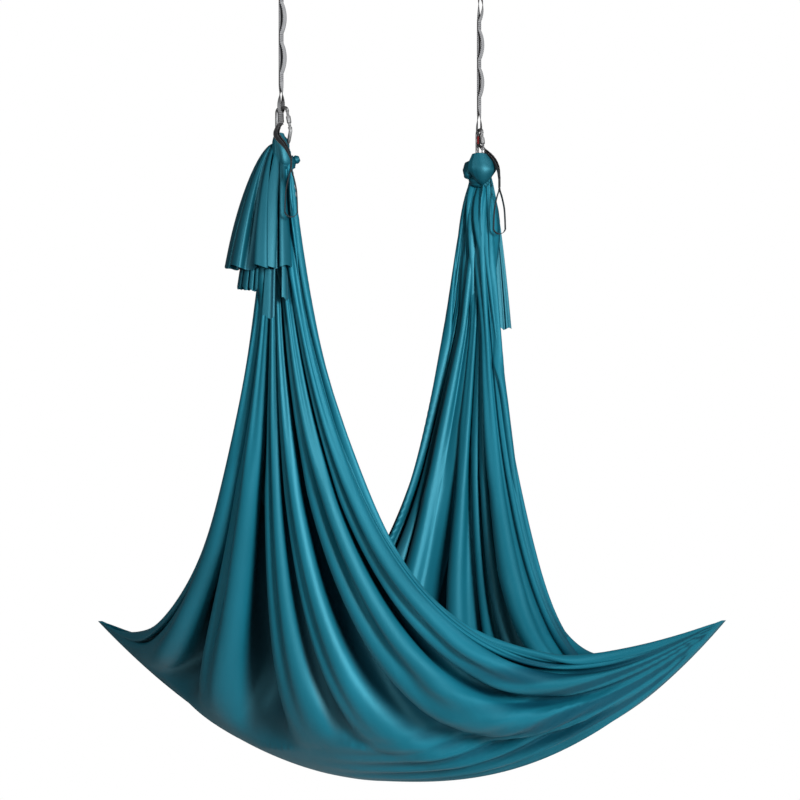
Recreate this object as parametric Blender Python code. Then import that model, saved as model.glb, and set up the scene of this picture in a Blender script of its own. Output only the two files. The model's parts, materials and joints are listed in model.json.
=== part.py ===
"""Aerial hammock: one wide cloth sling hung by its two knotted ends.

Each knot sits on a locking carabiner, the carabiner in a pocket of a sewn
daisy-chain strap, and the strap on a second carabiner that hangs from a
bolted ceiling anchor.

Frame: metres, +Z up, Z = 0 at the ceiling.  X runs from the front hang point
to the rear one, and Y along the spread cloth, from tip to tip.  The origin is
midway between the two hang points.
"""

import math

import bmesh
import bpy
import numpy as np

# Hang points and general clearances
HANG_SPACING = 0.749
SEAT_GAP = 0.0003
RUNNING_GAP = 0.0004
CUT_OVERRUN = 0.002
FLAT_TOLERANCE = 0.00001
SHARP_ANGLE = math.radians(40.0)

# Ceiling anchor: plate with a welded U eye and four bolts
PLATE_LENGTH = 0.090
PLATE_WIDTH = 0.056
PLATE_THICKNESS = 0.005
PLATE_CORNER = 0.008
BOLT_SPACING_LONG = 0.068
BOLT_SPACING_WIDE = 0.034
BOLT_DIAMETER = 0.006
BOLT_HOLE_DIAMETER = 0.007
BOLT_HEAD_WIDTH = 0.010
BOLT_HEAD_HEIGHT = 0.004
BOLT_LENGTH = 0.050
BOLT_TIP_LENGTH = 0.006
WASHER_DIAMETER = 0.013
WASHER_THICKNESS = 0.001
EYE_ROD = 0.009
EYE_SPAN = 0.036
EYE_DROP = 0.045

# Carabiner, in its own plane: side is towards the gate, up is towards the top bar
CARABINER_ROD = 0.010
CARABINER_LENGTH = 0.108
SPINE_SIDE = -0.028
TOP_CORNER_SIDE = 0.013
WIDEST_SIDE = 0.029
WIDEST_UP = -0.015
BOTTOM_CORNER_SIDE = 0.020
CARABINER_FILLET = 0.011
LOAD_SIDE = -0.0105
NOSE_NECK_LENGTH = 0.006
NOSE_SHOULDER = 0.0015
NOSE_BELOW_CORNER = 0.010
HINGE_ABOVE_CORNER = 0.008
GATE_ROD = 0.0078
GATE_BORE = 0.0046
GATE_BORE_DEPTH = 0.024
TONGUE_THICKNESS = 0.0032
TONGUE_LENGTH = 0.006
HEEL_LENGTH = 0.0024
HEEL_GAP = 0.0006
SLOT_GAP = 0.0003
HINGE_PIN = 0.0026
PIN_HEAD = 0.0042
PIN_HEAD_THICKNESS = 0.0006
SLEEVE_DIAMETER = 0.0124
SLEEVE_WALL = 0.0018
SLEEVE_LENGTH = 0.020
SLEEVE_CHAMFER = 0.0012
SLEEVE_START = 0.010
SPRING_WIRE = 0.0007
SPRING_DIAMETER = 0.0032
SPRING_PITCH = 0.0026
SPRING_TURNS = 6

# Daisy-chain strap: one webbing, looped over the carabiner and sewn to itself
STRAP_WIDTH = 0.022
STRAP_WIDTH_ON_BAR = 0.015
STRAP_THICKNESS = 0.0016
STRAND_GAP = 0.0004
POCKET_PITCH = 0.109
POCKET_COUNT = 4
POCKET_BULGE = 0.010
POCKET_ROUNDING = 0.8
LOWEST_ROUNDING_BELOW = 0.5
LOWEST_ROUNDING_ABOVE = 0.7
POCKET_SHARES = (0.0, 0.06, 0.18, 0.34, 0.5, 0.66, 0.82, 0.94, 1.0)
LOWEST_POCKET_SHARES = (0.0, 0.035, 0.075, 0.115, 0.155, 0.21, 0.29, 0.42, 0.61, 0.79, 0.94, 1.0)
TACK_LENGTH = 0.027
WIDENING_LENGTH = 0.040
WRAP_OVERLAP_SHARE = 0.04
TOP_LOOP_LENGTH = 0.040
BAR_ABOVE_TACK = 0.0125
LABEL_WIDTH = 0.014
LABEL_LENGTH = 0.022
LABEL_THICKNESS = 0.0008

# Spare end of the strap, which hangs beside the knot
SPARE_DROP = 0.108
SPARE_BOW = 0.020
SPARE_POCKET_BULGE = 0.009
SPARE_ROUNDING = 1.5
SPARE_STEPS = 14
SPARE_ROUTE_SHARES = ((0.0, 0.0, 0.03), (0.10, 0.04, 0.12), (0.42, 0.30, 0.36), (0.85, 0.78, 0.68),
                      (1.0, 1.0, 1.0))
SPARE_BOW_SHARES = (0.0, 0.45, 1.0, 0.45, 0.0)
END_LOOP_LENGTH = 0.130
END_LOOP_WIDTH = 0.034
END_LOOP_SIDE_SHARES = ((0.0, 0.0), (0.0, 0.03), (0.08, 0.07), (0.45, 0.22), (0.85, 0.48))
SPARE_FACING = math.radians(55.0)
FRONT_SPARE_X, FRONT_SPARE_Y = -0.048, -0.098
REAR_SPARE_X, REAR_SPARE_Y = -0.014, -0.098
REAR_TWIST = math.radians(-26.0)

# Knotted cloth on the lower carabiner
BUNDLE_WIDTH = 0.021
BUNDLE_THICKNESS = 0.013
BUNDLE_PLAY = 0.0008
OPEN_PIVOT_PLAY = 0.0009
KNOT_HALF_LENGTH = 0.048
KNOT_HALF_DEPTH = 0.043
KNOT_HALF_HEIGHT = 0.032
KNOT_LOBE_DEPTH = 0.0045
KNOT_LOBES = 3
KNOT_WINDING = 2.2
KNOT_BELOW_BAR = 0.0095
FRONT_KNOT_TURN = math.radians(23.0)
REAR_KNOT_TURN = math.radians(109.0)

# Hanging sheet between the knots, measured down from the ceiling
SHEET_THICKNESS = 0.003
SHEET_TOP_HALF_WIDTH = 0.044
SHEET_TOP_DEPTH = 0.016
TIP_REACH = 1.208
TIP_DROP = 2.000
TIP_TILT = 0.030
TIP_SKEW = 0.072
KEEL_SAG = 0.449
KEEL_HALF_WIDTH = 0.008
KEEL_ROUNDING = 2.5
KEEL_SPREAD_SHARE = 0.25
CENTRE_FALL = 0.950
CENTRE_BELLY = 0.240
EDGE_FLARE = 0.157
EDGE_SKEW = 0.052
TIP_BELLY = 0.100
FOLD_COUNT = 10
FOLD_DEPTH_TOP = 0.0016
FOLD_DEPTH_LEG = 0.020
FOLD_DEPTH_KEEL = 0.006
FOLD_GROWN_SHARE = 0.30
FOLD_EASING_SHARE = 0.45
FOLD_UNEVEN_SHARE = 0.22
SELVEDGE_FLAT_SHARE = 0.55
FOLD_BEAT = 0.9
ROWS_PER_LEG = 6

# Selvedges, leg by leg: fall under the knot, run along the keel, dip at the tip
FRONT_RIGHT_FALL, FRONT_RIGHT_RUN, FRONT_RIGHT_DIP = 1.388, 0.646, 0.232
FRONT_LEFT_FALL, FRONT_LEFT_RUN, FRONT_LEFT_DIP = 1.058, 0.507, 0.149
REAR_RIGHT_FALL, REAR_RIGHT_RUN, REAR_RIGHT_DIP = 1.263, 0.793, 0.342
REAR_LEFT_FALL, REAR_LEFT_RUN, REAR_LEFT_DIP = 1.160, 0.650, 0.245

# Loose tails of cloth above the knots
TAIL_THICKNESS = 0.0025
TAIL_FOLD_TOP = 0.0015
TAIL_FOLD_DEPTH = 0.012
TAIL_GATHER_SHARE = 0.55
TAIL_FOLD_UNEVEN_SHARE = 0.25
TAIL_FOLD_BEAT = 1.3
TAIL_HEM_SHARE = 0.07
TAIL_HEM_BEAT = 0.8
TAIL_FLARE = 1.8
TAIL_FALL_SHARES = (0.15, 0.3, 0.47, 0.64, 0.82, 1.0)
TAIL_STEP_OVER_KNOT = math.radians(9.0)
FRONT_TAIL_LENGTH = 0.310
FRONT_TAIL_REACH = 0.128
FRONT_TAIL_FOLD_COUNT = 7
FRONT_TAIL_START = math.radians(38.0)
FRONT_TAIL_FACING = math.radians(163.0)
FRONT_TAIL_SPAN = math.radians(108.0)
REAR_TAIL_LENGTH = 0.400
REAR_TAIL_REACH = 0.080
REAR_TAIL_FOLD_COUNT = 2
REAR_TAIL_START = math.radians(76.0)
REAR_TAIL_FACING = math.radians(-20.0)
REAR_TAIL_SPAN = math.radians(40.0)

# Counts
ROD_SIDES = 12
SLEEVE_SIDES = 16
FILLET_STEPS = 5
ARC_STEPS = 10
SPRING_STEPS = 8
SPRING_SIDES = 6
KNOT_RINGS = 12
KNOT_SIDES = 22
BUNDLE_STEPS = 20
BUNDLE_SIDES = 12
HALVINGS = 30

MATERIALS = {
    "steel": ((0.62, 0.63, 0.64), 0.28, 1.0),
    "zinc": ((0.55, 0.56, 0.57), 0.42, 1.0),
    "webbing": ((0.16, 0.165, 0.17), 0.70, 0.0),
    "label": ((0.42, 0.03, 0.04), 0.65, 0.0),
    "cloth": ((0.012, 0.16, 0.22), 0.42, 0.0),
}


def clear_scene():
    """Remove every object that the scene starts with."""
    for item in list(bpy.data.objects):
        bpy.data.objects.remove(item, do_unlink=True)


def material(name):
    """One Principled material per finish, made once."""
    found = bpy.data.materials.get(name)
    if found:
        return found
    colour, roughness, metallic = MATERIALS[name]
    made = bpy.data.materials.new(name)
    made.use_nodes = True
    shader = made.node_tree.nodes["Principled BSDF"]
    shader.inputs["Base Color"].default_value = (*colour, 1.0)
    shader.inputs["Roughness"].default_value = roughness
    shader.inputs["Metallic"].default_value = metallic
    return made


def add_object(name, points, faces, finish, parent=None):
    """A named object from points (in the parent's frame) and faces, faces outward."""
    mesh = bpy.data.meshes.new(name)
    build = bmesh.new()
    corners = [build.verts.new(tuple(float(c) for c in point)) for point in points]
    for face in faces:
        build.faces.new([corners[index] for index in face])
    bmesh.ops.recalc_face_normals(build, faces=build.faces[:])
    build.to_mesh(mesh)
    build.free()
    mesh.shade_smooth()
    mesh.set_sharp_from_angle(angle=SHARP_ANGLE)
    piece = bpy.data.objects.new(name, mesh)
    bpy.context.scene.collection.objects.link(piece)
    mesh.materials.append(material(finish))
    piece.parent = parent
    return piece


def add_empty(name, location, turn=0.0, parent=None):
    """An empty that carries the pieces of one sub-assembly."""
    empty = bpy.data.objects.new(name, None)
    empty.location = location
    empty.rotation_euler = (0.0, 0.0, turn)
    empty.parent = parent
    bpy.context.scene.collection.objects.link(empty)
    return empty


def cut(piece, cutter, operation="DIFFERENCE"):
    """Boolean one object with another, which is then only a guide."""
    step = piece.modifiers.new(cutter.name, "BOOLEAN")
    step.operation = operation
    step.object = cutter
    step.solver = "EXACT"
    cutter.hide_render = True
    cutter.display_type = "WIRE"


def ring_faces(rings, sides, closed):
    """Quads between neighbouring rings of points, with end caps on an open tube."""
    faces = []
    last = rings if closed else rings - 1
    for ring in range(last):
        low = ring * sides
        high = ((ring + 1) % rings) * sides
        for side in range(sides):
            after = (side + 1) % sides
            faces.append((low + side, low + after, high + after, high + side))
    if not closed:
        faces.append(tuple(range(sides - 1, -1, -1)))
        faces.append(tuple(range((rings - 1) * sides, rings * sides)))
    return faces


def tangents(path, closed=False):
    """Unit directions along a path of points."""
    path = np.asarray(path, float)
    if closed:
        ahead = np.roll(path, -1, axis=0) - np.roll(path, 1, axis=0)
    else:
        ahead = np.gradient(path, axis=0)
    return ahead / np.linalg.norm(ahead, axis=1)[:, None]


def rod(path, radii, plane_normal, sides=ROD_SIDES, closed=False):
    """Round rod along a planar path: rings of radius radii square to the path."""
    path = np.asarray(path, float)
    along = tangents(path, closed)
    normal = np.broadcast_to(np.asarray(plane_normal, float), path.shape)
    across = np.cross(along, normal)
    across /= np.linalg.norm(across, axis=1)[:, None]
    angle = np.arange(sides) * 2.0 * math.pi / sides
    radii = np.broadcast_to(np.asarray(radii, float), (len(path),))
    ring = (across[:, None, :] * np.cos(angle)[None, :, None]
            + normal[:, None, :] * np.sin(angle)[None, :, None])
    points = path[:, None, :] + ring * radii[:, None, None]
    return points.reshape(-1, 3), ring_faces(len(path), sides, closed)


def split_warped(points, faces, middle):
    """Faces with each warped quad cut along its shorter diagonal.

    The diagonals are measured on the middle surface, so that both faces of a
    thin solid are cut the same way.
    """
    out = []
    for face in faces:
        a, b, c, d = points[list(face[:4])] if len(face) == 4 else points[[0, 0, 0, 0]]
        normal = np.cross(c - a, d - b)
        size = np.linalg.norm(normal)
        if size == 0.0 or abs(np.dot(b - a, normal)) < FLAT_TOLERANCE * size:
            out.append(face)
            continue
        first, second, third, fourth = face
        if np.linalg.norm(middle[third] - middle[first]) <= np.linalg.norm(middle[fourth] - middle[second]):
            out += [(first, second, third), (first, third, fourth)]
        else:
            out += [(first, second, fourth), (second, third, fourth)]
    return out


def ribbon(path, width_axis, widths, thickness):
    """Flat webbing along a path: a rectangle carried square to the path."""
    path = np.asarray(path, float)
    along = tangents(path)
    wide = np.broadcast_to(np.asarray(width_axis, float), path.shape).copy()
    wide -= along * (wide * along).sum(axis=1)[:, None]
    wide /= np.linalg.norm(wide, axis=1)[:, None]
    thick = np.cross(along, wide) * thickness / 2.0
    wide *= np.broadcast_to(np.asarray(widths, float), (len(path),))[:, None] / 2.0
    corners = np.stack([path + wide + thick, path - wide + thick,
                        path - wide - thick, path + wide - thick], axis=1).reshape(-1, 3)
    middle = np.stack([path + wide, path - wide, path - wide, path + wide], axis=1).reshape(-1, 3)
    return corners, split_warped(corners, ring_faces(len(path), 4, False), middle)


def turned(profile, sides=SLEEVE_SIDES):
    """Closed body of revolution about Z from (radius, height) pairs of a closed outline."""
    angle = np.arange(sides) * 2.0 * math.pi / sides
    profile = np.asarray(profile, float)
    points = np.stack([profile[None, :, 0] * np.cos(angle)[:, None],
                       profile[None, :, 0] * np.sin(angle)[:, None],
                       np.broadcast_to(profile[None, :, 1], (sides, len(profile)))], axis=2)
    return points.reshape(-1, 3), ring_faces(sides, len(profile), True)


def stepped_rod(stations, hexagons=0):
    """Straight body along Z from (radius, height) stations, capped at both ends.

    The first stations, as many as hexagons says, are hexagons with that radius to their flats,
    and the others are round.
    """
    points = []
    for index, (radius, height) in enumerate(stations):
        for side in range(ROD_SIDES):
            angle = 2.0 * math.pi * side / ROD_SIDES
            corner = index < hexagons and side % 2 == 0
            reach = radius / math.cos(math.pi / 6.0) if corner else radius
            points.append((reach * math.cos(angle), reach * math.sin(angle), height))
    return points, ring_faces(len(stations), ROD_SIDES, False)


def rounded_corner(before, corner, after, radius):
    """Arc of FILLET_STEPS points that rounds a corner of an outline in its plane."""
    before, corner, after = (np.asarray(p, float) for p in (before, corner, after))
    back = (before - corner) / np.linalg.norm(before - corner)
    on = (after - corner) / np.linalg.norm(after - corner)
    half = math.acos(float(np.clip(back @ on, -1.0, 1.0))) / 2.0
    reach = radius / math.tan(half)
    centre = corner + (back + on) / np.linalg.norm(back + on) * radius / math.sin(half)
    first = corner + back * reach - centre
    last = corner + on * reach - centre
    sweep = math.pi - 2.0 * half
    shares = np.linspace(0.0, 1.0, FILLET_STEPS + 1)
    weights_first = np.sin((1.0 - shares) * sweep) / math.sin(sweep)
    weights_last = np.sin(shares * sweep) / math.sin(sweep)
    return [centre + first * a + last * b for a, b in zip(weights_first, weights_last)]


def box_mesh(low, high):
    """Corners and faces of a box between two opposite corners."""
    points = [(x, y, z) for x in (low[0], high[0]) for y in (low[1], high[1])
              for z in (low[2], high[2])]
    faces = [(0, 1, 3, 2), (4, 6, 7, 5), (0, 4, 5, 1), (2, 3, 7, 6), (0, 2, 6, 4), (1, 5, 7, 3)]
    return points, faces


# Heights that follow from the sizes above, all measured up from the ceiling
BAR_TO_BAR = CARABINER_LENGTH - CARABINER_ROD
EYE_HEIGHT = -EYE_DROP
UPPER_TOP_BAR = EYE_HEIGHT + (EYE_ROD + CARABINER_ROD) / 2.0 + SEAT_GAP
UPPER_BOTTOM_BAR = UPPER_TOP_BAR - BAR_TO_BAR
TOP_TACK = UPPER_BOTTOM_BAR - TOP_LOOP_LENGTH - TACK_LENGTH / 2.0
BOTTOM_TACK = TOP_TACK - POCKET_COUNT * POCKET_PITCH
LOWER_TOP_BAR = BOTTOM_TACK + TACK_LENGTH / 2.0 + BAR_ABOVE_TACK
LOWER_BOTTOM_BAR = LOWER_TOP_BAR - BAR_TO_BAR
STRAND_OFFSET = STRAP_THICKNESS + STRAND_GAP
STRAP_END = BOTTOM_TACK - TACK_LENGTH / 2.0
KNOT_TOP = LOWER_BOTTOM_BAR - KNOT_BELOW_BAR
KNOT_CENTRE = KNOT_TOP - KNOT_HALF_HEIGHT
SHEET_TOP = KNOT_CENTRE - KNOT_HALF_HEIGHT


def plate_outline():
    """Rounded rectangle of the anchor plate, long side along X."""
    long, wide = PLATE_LENGTH / 2.0, PLATE_WIDTH / 2.0
    corners = [(long, wide), (-long, wide), (-long, -wide), (long, -wide)]
    outline = []
    for index, corner in enumerate(corners):
        outline += rounded_corner(corners[index - 1], corner, corners[(index + 1) % 4],
                                  PLATE_CORNER)
    return outline


def build_anchor(side, place):
    """Ceiling anchor: plate with its welded eye, and four bolts."""
    outline = plate_outline()
    count = len(outline)
    points = [(p[0], p[1], z) for z in (-PLATE_THICKNESS, 0.0) for p in outline]
    plate = add_object(f"{side}_anchor_plate", points, ring_faces(2, count, False), "steel", place)
    half = EYE_SPAN / 2.0 + EYE_ROD / 2.0
    top = -PLATE_THICKNESS / 2.0
    path = [(half, 0.0, top)]
    centre = EYE_HEIGHT + half
    for step in range(ARC_STEPS + 1):
        angle = -math.pi * step / ARC_STEPS
        path.append((half * math.cos(angle), 0.0, centre + half * math.sin(angle)))
    path.append((-half, 0.0, top))
    eye_points, eye_faces = rod(path, EYE_ROD / 2.0, (0.0, 1.0, 0.0))
    eye = add_object(f"{side}_eye_guide", eye_points, eye_faces, "steel", place)
    cut(plate, eye, "UNION")
    for index in range(4):
        x = BOLT_SPACING_LONG / 2.0 * (1 if index in (0, 3) else -1)
        y = BOLT_SPACING_WIDE / 2.0 * (1 if index < 2 else -1)
        hole = stepped_rod([(BOLT_HOLE_DIAMETER / 2.0, -PLATE_THICKNESS - CUT_OVERRUN),
                            (BOLT_HOLE_DIAMETER / 2.0, CUT_OVERRUN)])
        hole = add_object(f"{side}_hole_guide_{index + 1}", *hole, "steel", place)
        hole.location = (x, y, 0.0)
        cut(plate, hole)
        build_bolt(f"{side}_anchor_bolt_{index + 1}", place, x, y)


def build_bolt(name, place, x, y):
    """Hexagon screw with a built-on washer, driven up through the plate."""
    under = -PLATE_THICKNESS - SEAT_GAP
    washer = under - WASHER_THICKNESS
    shank = BOLT_DIAMETER / 2.0
    stations = [(BOLT_HEAD_WIDTH / 2.0, washer - BOLT_HEAD_HEIGHT),
                (BOLT_HEAD_WIDTH / 2.0, washer),
                (WASHER_DIAMETER / 2.0, washer),
                (WASHER_DIAMETER / 2.0, under),
                (shank, under),
                (shank, under + BOLT_LENGTH - BOLT_TIP_LENGTH),
                (SEAT_GAP, under + BOLT_LENGTH)]
    bolt = add_object(name, *stepped_rod(stations, hexagons=2), "zinc", place)
    bolt.location = (x, y, 0.0)


def carabiner_outline():
    """Corners of the ring's centre line: spine, top bar, gate side and bottom bar."""
    half = BAR_TO_BAR / 2.0
    return [(SPINE_SIDE, -half), (SPINE_SIDE, half), (TOP_CORNER_SIDE, half),
            (WIDEST_SIDE, WIDEST_UP), (BOTTOM_CORNER_SIDE, -half)]


def gate_line():
    """Hinge point, nose point and unit direction of the gate along the gate side."""
    corners = carabiner_outline()
    top = np.array(rounded_corner(corners[1], corners[2], corners[3], CARABINER_FILLET)[-1])
    low = np.array(rounded_corner(corners[2], corners[3], corners[4], CARABINER_FILLET)[0])
    up = (top - low) / np.linalg.norm(top - low)
    return low + up * HINGE_ABOVE_CORNER, top - up * NOSE_BELOW_CORNER, up


def in_ring(point):
    """A point (side, up) of the ring's plane as x, y, z of the carabiner's frame."""
    return (0.0, -float(point[0]), float(point[1]))


def build_carabiner(name, place):
    """Locking carabiner in the Y-Z plane with its gate towards -Y, load line at Y = LOAD_SIDE."""
    corners = carabiner_outline()
    hinge, nose, up = gate_line()
    order = [3, 4, 0, 1, 2]
    path = [hinge - up * SEAT_GAP]
    for index in order:
        after = corners[(index + 1) % len(corners)]
        path += rounded_corner(corners[index - 1], corners[index], after, CARABINER_FILLET)
    neck = nose + up * NOSE_NECK_LENGTH
    path += [neck + up * NOSE_SHOULDER, neck, nose]
    radii = [CARABINER_ROD / 2.0] * (len(path) - 2) + [GATE_ROD / 2.0] * 2
    ring = [in_ring(point) for point in path]
    points, faces = rod(ring, radii, (1.0, 0.0, 0.0))
    body = add_object(f"{name}_body", points, faces, "steel", place)
    lean = (math.atan2(up[0], up[1]), 0.0, 0.0)
    cut_hinge(name, body, place, hinge, lean)
    build_gate(name, place, hinge, nose, up, lean)


def cut_hinge(name, body, place, hinge, lean):
    """Slot for the gate's tongue and hole for the hinge pin at the end of the ring."""
    slot_half = TONGUE_THICKNESS / 2.0 + SLOT_GAP
    deep = TONGUE_LENGTH + SLOT_GAP
    wide = CARABINER_ROD / 2.0 + CUT_OVERRUN
    slot = box_mesh((-slot_half, -wide, -deep), (slot_half, wide, CUT_OVERRUN))
    slot = add_object(f"{name}_slot_guide", *slot, "steel", place)
    slot.location = in_ring(hinge)
    slot.rotation_euler = lean
    cut(body, slot)
    radius = HINGE_PIN / 2.0 + SEAT_GAP
    bore = stepped_rod([(radius, -wide), (radius, wide)])
    bore = add_object(f"{name}_bore_guide", *bore, "steel", slot)
    bore.location = (0.0, 0.0, -TONGUE_LENGTH / 2.0)
    bore.rotation_euler = (0.0, math.pi / 2.0, 0.0)
    cut(body, bore)


def build_gate(name, place, hinge, nose, up, lean):
    """Gate with its tongue, hinge pin, spring and lock sleeve; origin on the pin's axis."""
    length = float(np.linalg.norm(nose - hinge))
    pivot = hinge - up * TONGUE_LENGTH / 2.0
    joint = add_empty(f"{name}_gate_axis", in_ring(pivot), 0.0, place)
    joint.rotation_euler = lean
    start = TONGUE_LENGTH / 2.0 + HEEL_GAP
    end = TONGUE_LENGTH / 2.0 + length - SEAT_GAP
    radius = GATE_ROD / 2.0
    stations = [(radius - HEEL_LENGTH, start), (radius, start + HEEL_LENGTH), (radius, end)]
    gate = add_object(f"{name}_gate", *stepped_rod(stations), "steel", joint)
    half = TONGUE_THICKNESS / 2.0
    reach = TONGUE_LENGTH / 2.0 - SEAT_GAP
    top = start + CUT_OVERRUN
    outline = [(-reach * math.cos(a), -reach * math.sin(a)) for a in np.linspace(0.0, math.pi, ARC_STEPS + 1)]
    outline += [(reach, top), (-reach, top)]
    tongue = [(x, y, z) for x in (-half, half) for y, z in outline], ring_faces(2, len(outline), False)
    cut(gate, add_object(f"{name}_tongue_guide", *tongue, "steel", joint), "UNION")
    hole = stepped_rod([(HINGE_PIN / 2.0 + SEAT_GAP, -radius), (HINGE_PIN / 2.0 + SEAT_GAP, radius)])
    hole = add_object(f"{name}_tongue_hole_guide", *hole, "steel", joint)
    hole.rotation_euler = (0.0, math.pi / 2.0, 0.0)
    cut(gate, hole)
    bore = stepped_rod([(GATE_BORE / 2.0, end - GATE_BORE_DEPTH), (GATE_BORE / 2.0, end + CUT_OVERRUN)])
    cut(gate, add_object(f"{name}_gate_bore_guide", *bore, "steel", joint))
    build_pin(name, joint)
    build_spring(name, joint, end - GATE_BORE_DEPTH + SEAT_GAP)
    build_sleeve(name, joint, start + SLEEVE_START)


def build_pin(name, joint):
    """Riveted hinge pin through the ring's two cheeks and the tongue, along X."""
    half = CARABINER_ROD / 2.0 + SEAT_GAP
    head = half + PIN_HEAD_THICKNESS
    shank = HINGE_PIN / 2.0
    stations = [(PIN_HEAD / 2.0, -head), (PIN_HEAD / 2.0, -half), (shank, -half), (shank, half),
                (PIN_HEAD / 2.0, half), (PIN_HEAD / 2.0, head)]
    pin = add_object(f"{name}_gate_pin", *stepped_rod(stations), "steel", joint)
    pin.rotation_euler = (0.0, math.pi / 2.0, 0.0)


def build_spring(name, joint, start):
    """Gate-closing spring in the gate's bore, a helix of SPRING_TURNS turns."""
    steps = SPRING_TURNS * SPRING_STEPS
    radius = SPRING_DIAMETER / 2.0
    turn = [2.0 * math.pi * SPRING_TURNS * step / steps for step in range(steps + 1)]
    low = start + SPRING_WIRE / 2.0
    path = np.array([(radius * math.cos(a), radius * math.sin(a),
                      low + SPRING_PITCH * a / (2.0 * math.pi)) for a in turn])
    along = tangents(path)
    inward = np.array([(-math.cos(a), -math.sin(a), 0.0) for a in turn])
    third = np.cross(along, inward)
    angle = np.arange(SPRING_SIDES) * 2.0 * math.pi / SPRING_SIDES
    ring = (inward[:, None, :] * np.cos(angle)[None, :, None]
            + third[:, None, :] * np.sin(angle)[None, :, None]) * SPRING_WIRE / 2.0
    points = (path[:, None, :] + ring).reshape(-1, 3)
    add_object(f"{name}_gate_spring", points, ring_faces(len(path), SPRING_SIDES, False), "zinc", joint)


def build_sleeve(name, joint, start):
    """Lock sleeve that slides on the gate, from clear of the nose to over it."""
    outer = SLEEVE_DIAMETER / 2.0
    inner = outer - SLEEVE_WALL
    end = start + SLEEVE_LENGTH
    profile = [(inner, start), (outer - SLEEVE_CHAMFER, start), (outer, start + SLEEVE_CHAMFER),
               (outer, end - SLEEVE_CHAMFER), (outer - SLEEVE_CHAMFER, end), (inner, end)]
    add_object(f"{name}_lock_sleeve", *turned(profile), "steel", joint)


def pocket_swell(height):
    """Distance between the strap's two strands at a height: sewn at tacks, open between."""
    reach = (height - BOTTOM_TACK) / POCKET_PITCH
    within = reach - math.floor(reach)
    sewn = TACK_LENGTH / POCKET_PITCH / 2.0
    if within <= sewn or within >= 1.0 - sewn:
        return STRAND_OFFSET
    share = (within - sewn) / (1.0 - 2.0 * sewn)
    return STRAND_OFFSET + POCKET_BULGE * math.sin(math.pi * share) ** POCKET_ROUNDING


def lowest_swell(height):
    """The same in the pocket that the lower carabiner hangs in, wide round its bar."""
    low = BOTTOM_TACK + TACK_LENGTH / 2.0
    high = BOTTOM_TACK + POCKET_PITCH - TACK_LENGTH / 2.0
    if height <= low or height >= high:
        return STRAND_OFFSET
    widest = CARABINER_ROD + STRAP_THICKNESS + 2.0 * RUNNING_GAP + STRAND_GAP
    bar = LOWER_TOP_BAR
    share, rounding = (height - low) / (bar - low), LOWEST_ROUNDING_BELOW
    if height >= bar:
        share, rounding = (high - height) / (high - bar), LOWEST_ROUNDING_ABOVE
    return STRAND_OFFSET + (widest - STRAND_OFFSET) * math.sin(math.pi / 2.0 * share) ** rounding


def strap_heights():
    """Heights along the strap, close together where the pockets open and close."""
    low = BOTTOM_TACK + TACK_LENGTH / 2.0
    opening = POCKET_PITCH - TACK_LENGTH
    heights = [low + opening * share for share in LOWEST_POCKET_SHARES]
    for pocket in range(1, POCKET_COUNT):
        heights += [low + POCKET_PITCH * pocket + opening * share for share in POCKET_SHARES]
    return sorted(heights + [STRAP_END, TOP_TACK])


def twist_at(height, twist):
    """Turn of the webbing about Z, growing down its lowest pocket."""
    high = BOTTOM_TACK + POCKET_PITCH - TACK_LENGTH / 2.0
    share = min(max((high - height) / (high - LOWER_TOP_BAR), 0.0), 1.0)
    return twist * share


def width_at(height):
    """Webbing width, drawn in where it goes round a carabiner's bar."""
    near = min(abs(height - LOWER_TOP_BAR), abs(height - UPPER_BOTTOM_BAR))
    share = min(near / WIDENING_LENGTH, 1.0)
    return STRAP_WIDTH_ON_BAR + (STRAP_WIDTH - STRAP_WIDTH_ON_BAR) * share


def build_strap(side, place, twist):
    """Daisy chain: down the back, and back up as the pockets, round the upper carabiner."""
    half = STRAND_OFFSET / 2.0
    wrap = CARABINER_ROD / 2.0 + RUNNING_GAP + STRAP_THICKNESS / 2.0
    back, front = [], []
    for height in strap_heights():
        if height < BOTTOM_TACK + POCKET_PITCH - TACK_LENGTH / 2.0:
            swell = lowest_swell(height)
            back.append((-swell / 2.0, height))
            front.append((swell / 2.0, height))
        else:
            back.append((-half, height))
            front.append((-half + pocket_swell(height), height))
    arc = [(wrap * math.cos(a), UPPER_BOTTOM_BAR + wrap * math.sin(a))
           for a in np.linspace(math.pi * (1.0 + WRAP_OVERLAP_SHARE), -math.pi * WRAP_OVERLAP_SHARE,
                                ARC_STEPS + 1)]
    joinery = TOP_TACK + TACK_LENGTH / 2.0
    outline = back + [(-half, joinery)] + arc + [(half, joinery)] + front[::-1]
    path, axes, widths = [], [], []
    for x, height in outline:
        angle = twist_at(height, twist)
        path.append((x * math.cos(angle), x * math.sin(angle), height))
        axes.append((-math.sin(angle), math.cos(angle), 0.0))
        widths.append(width_at(height))
    points, faces = ribbon(path, np.array(axes), widths, STRAP_THICKNESS)
    add_object(f"{side}_daisy_chain", points, faces, "webbing", place)


def smooth_route(points, count):
    """Even parameter samples of a Catmull-Rom curve through a few route points."""
    points = np.asarray(points, float)
    padded = np.vstack([2 * points[0] - points[1], points, 2 * points[-1] - points[-2]])
    places = np.linspace(0.0, len(points) - 1.0, count)
    out = []
    for place in places:
        index = min(int(place), len(points) - 2)
        t = place - index
        a, b, c, d = padded[index:index + 4]
        out.append(0.5 * (2 * b + (c - a) * t + (2 * a - 5 * b + 4 * c - d) * t ** 2
                          + (3 * b - a - 3 * c + d) * t ** 3))
    return np.array(out)


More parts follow.
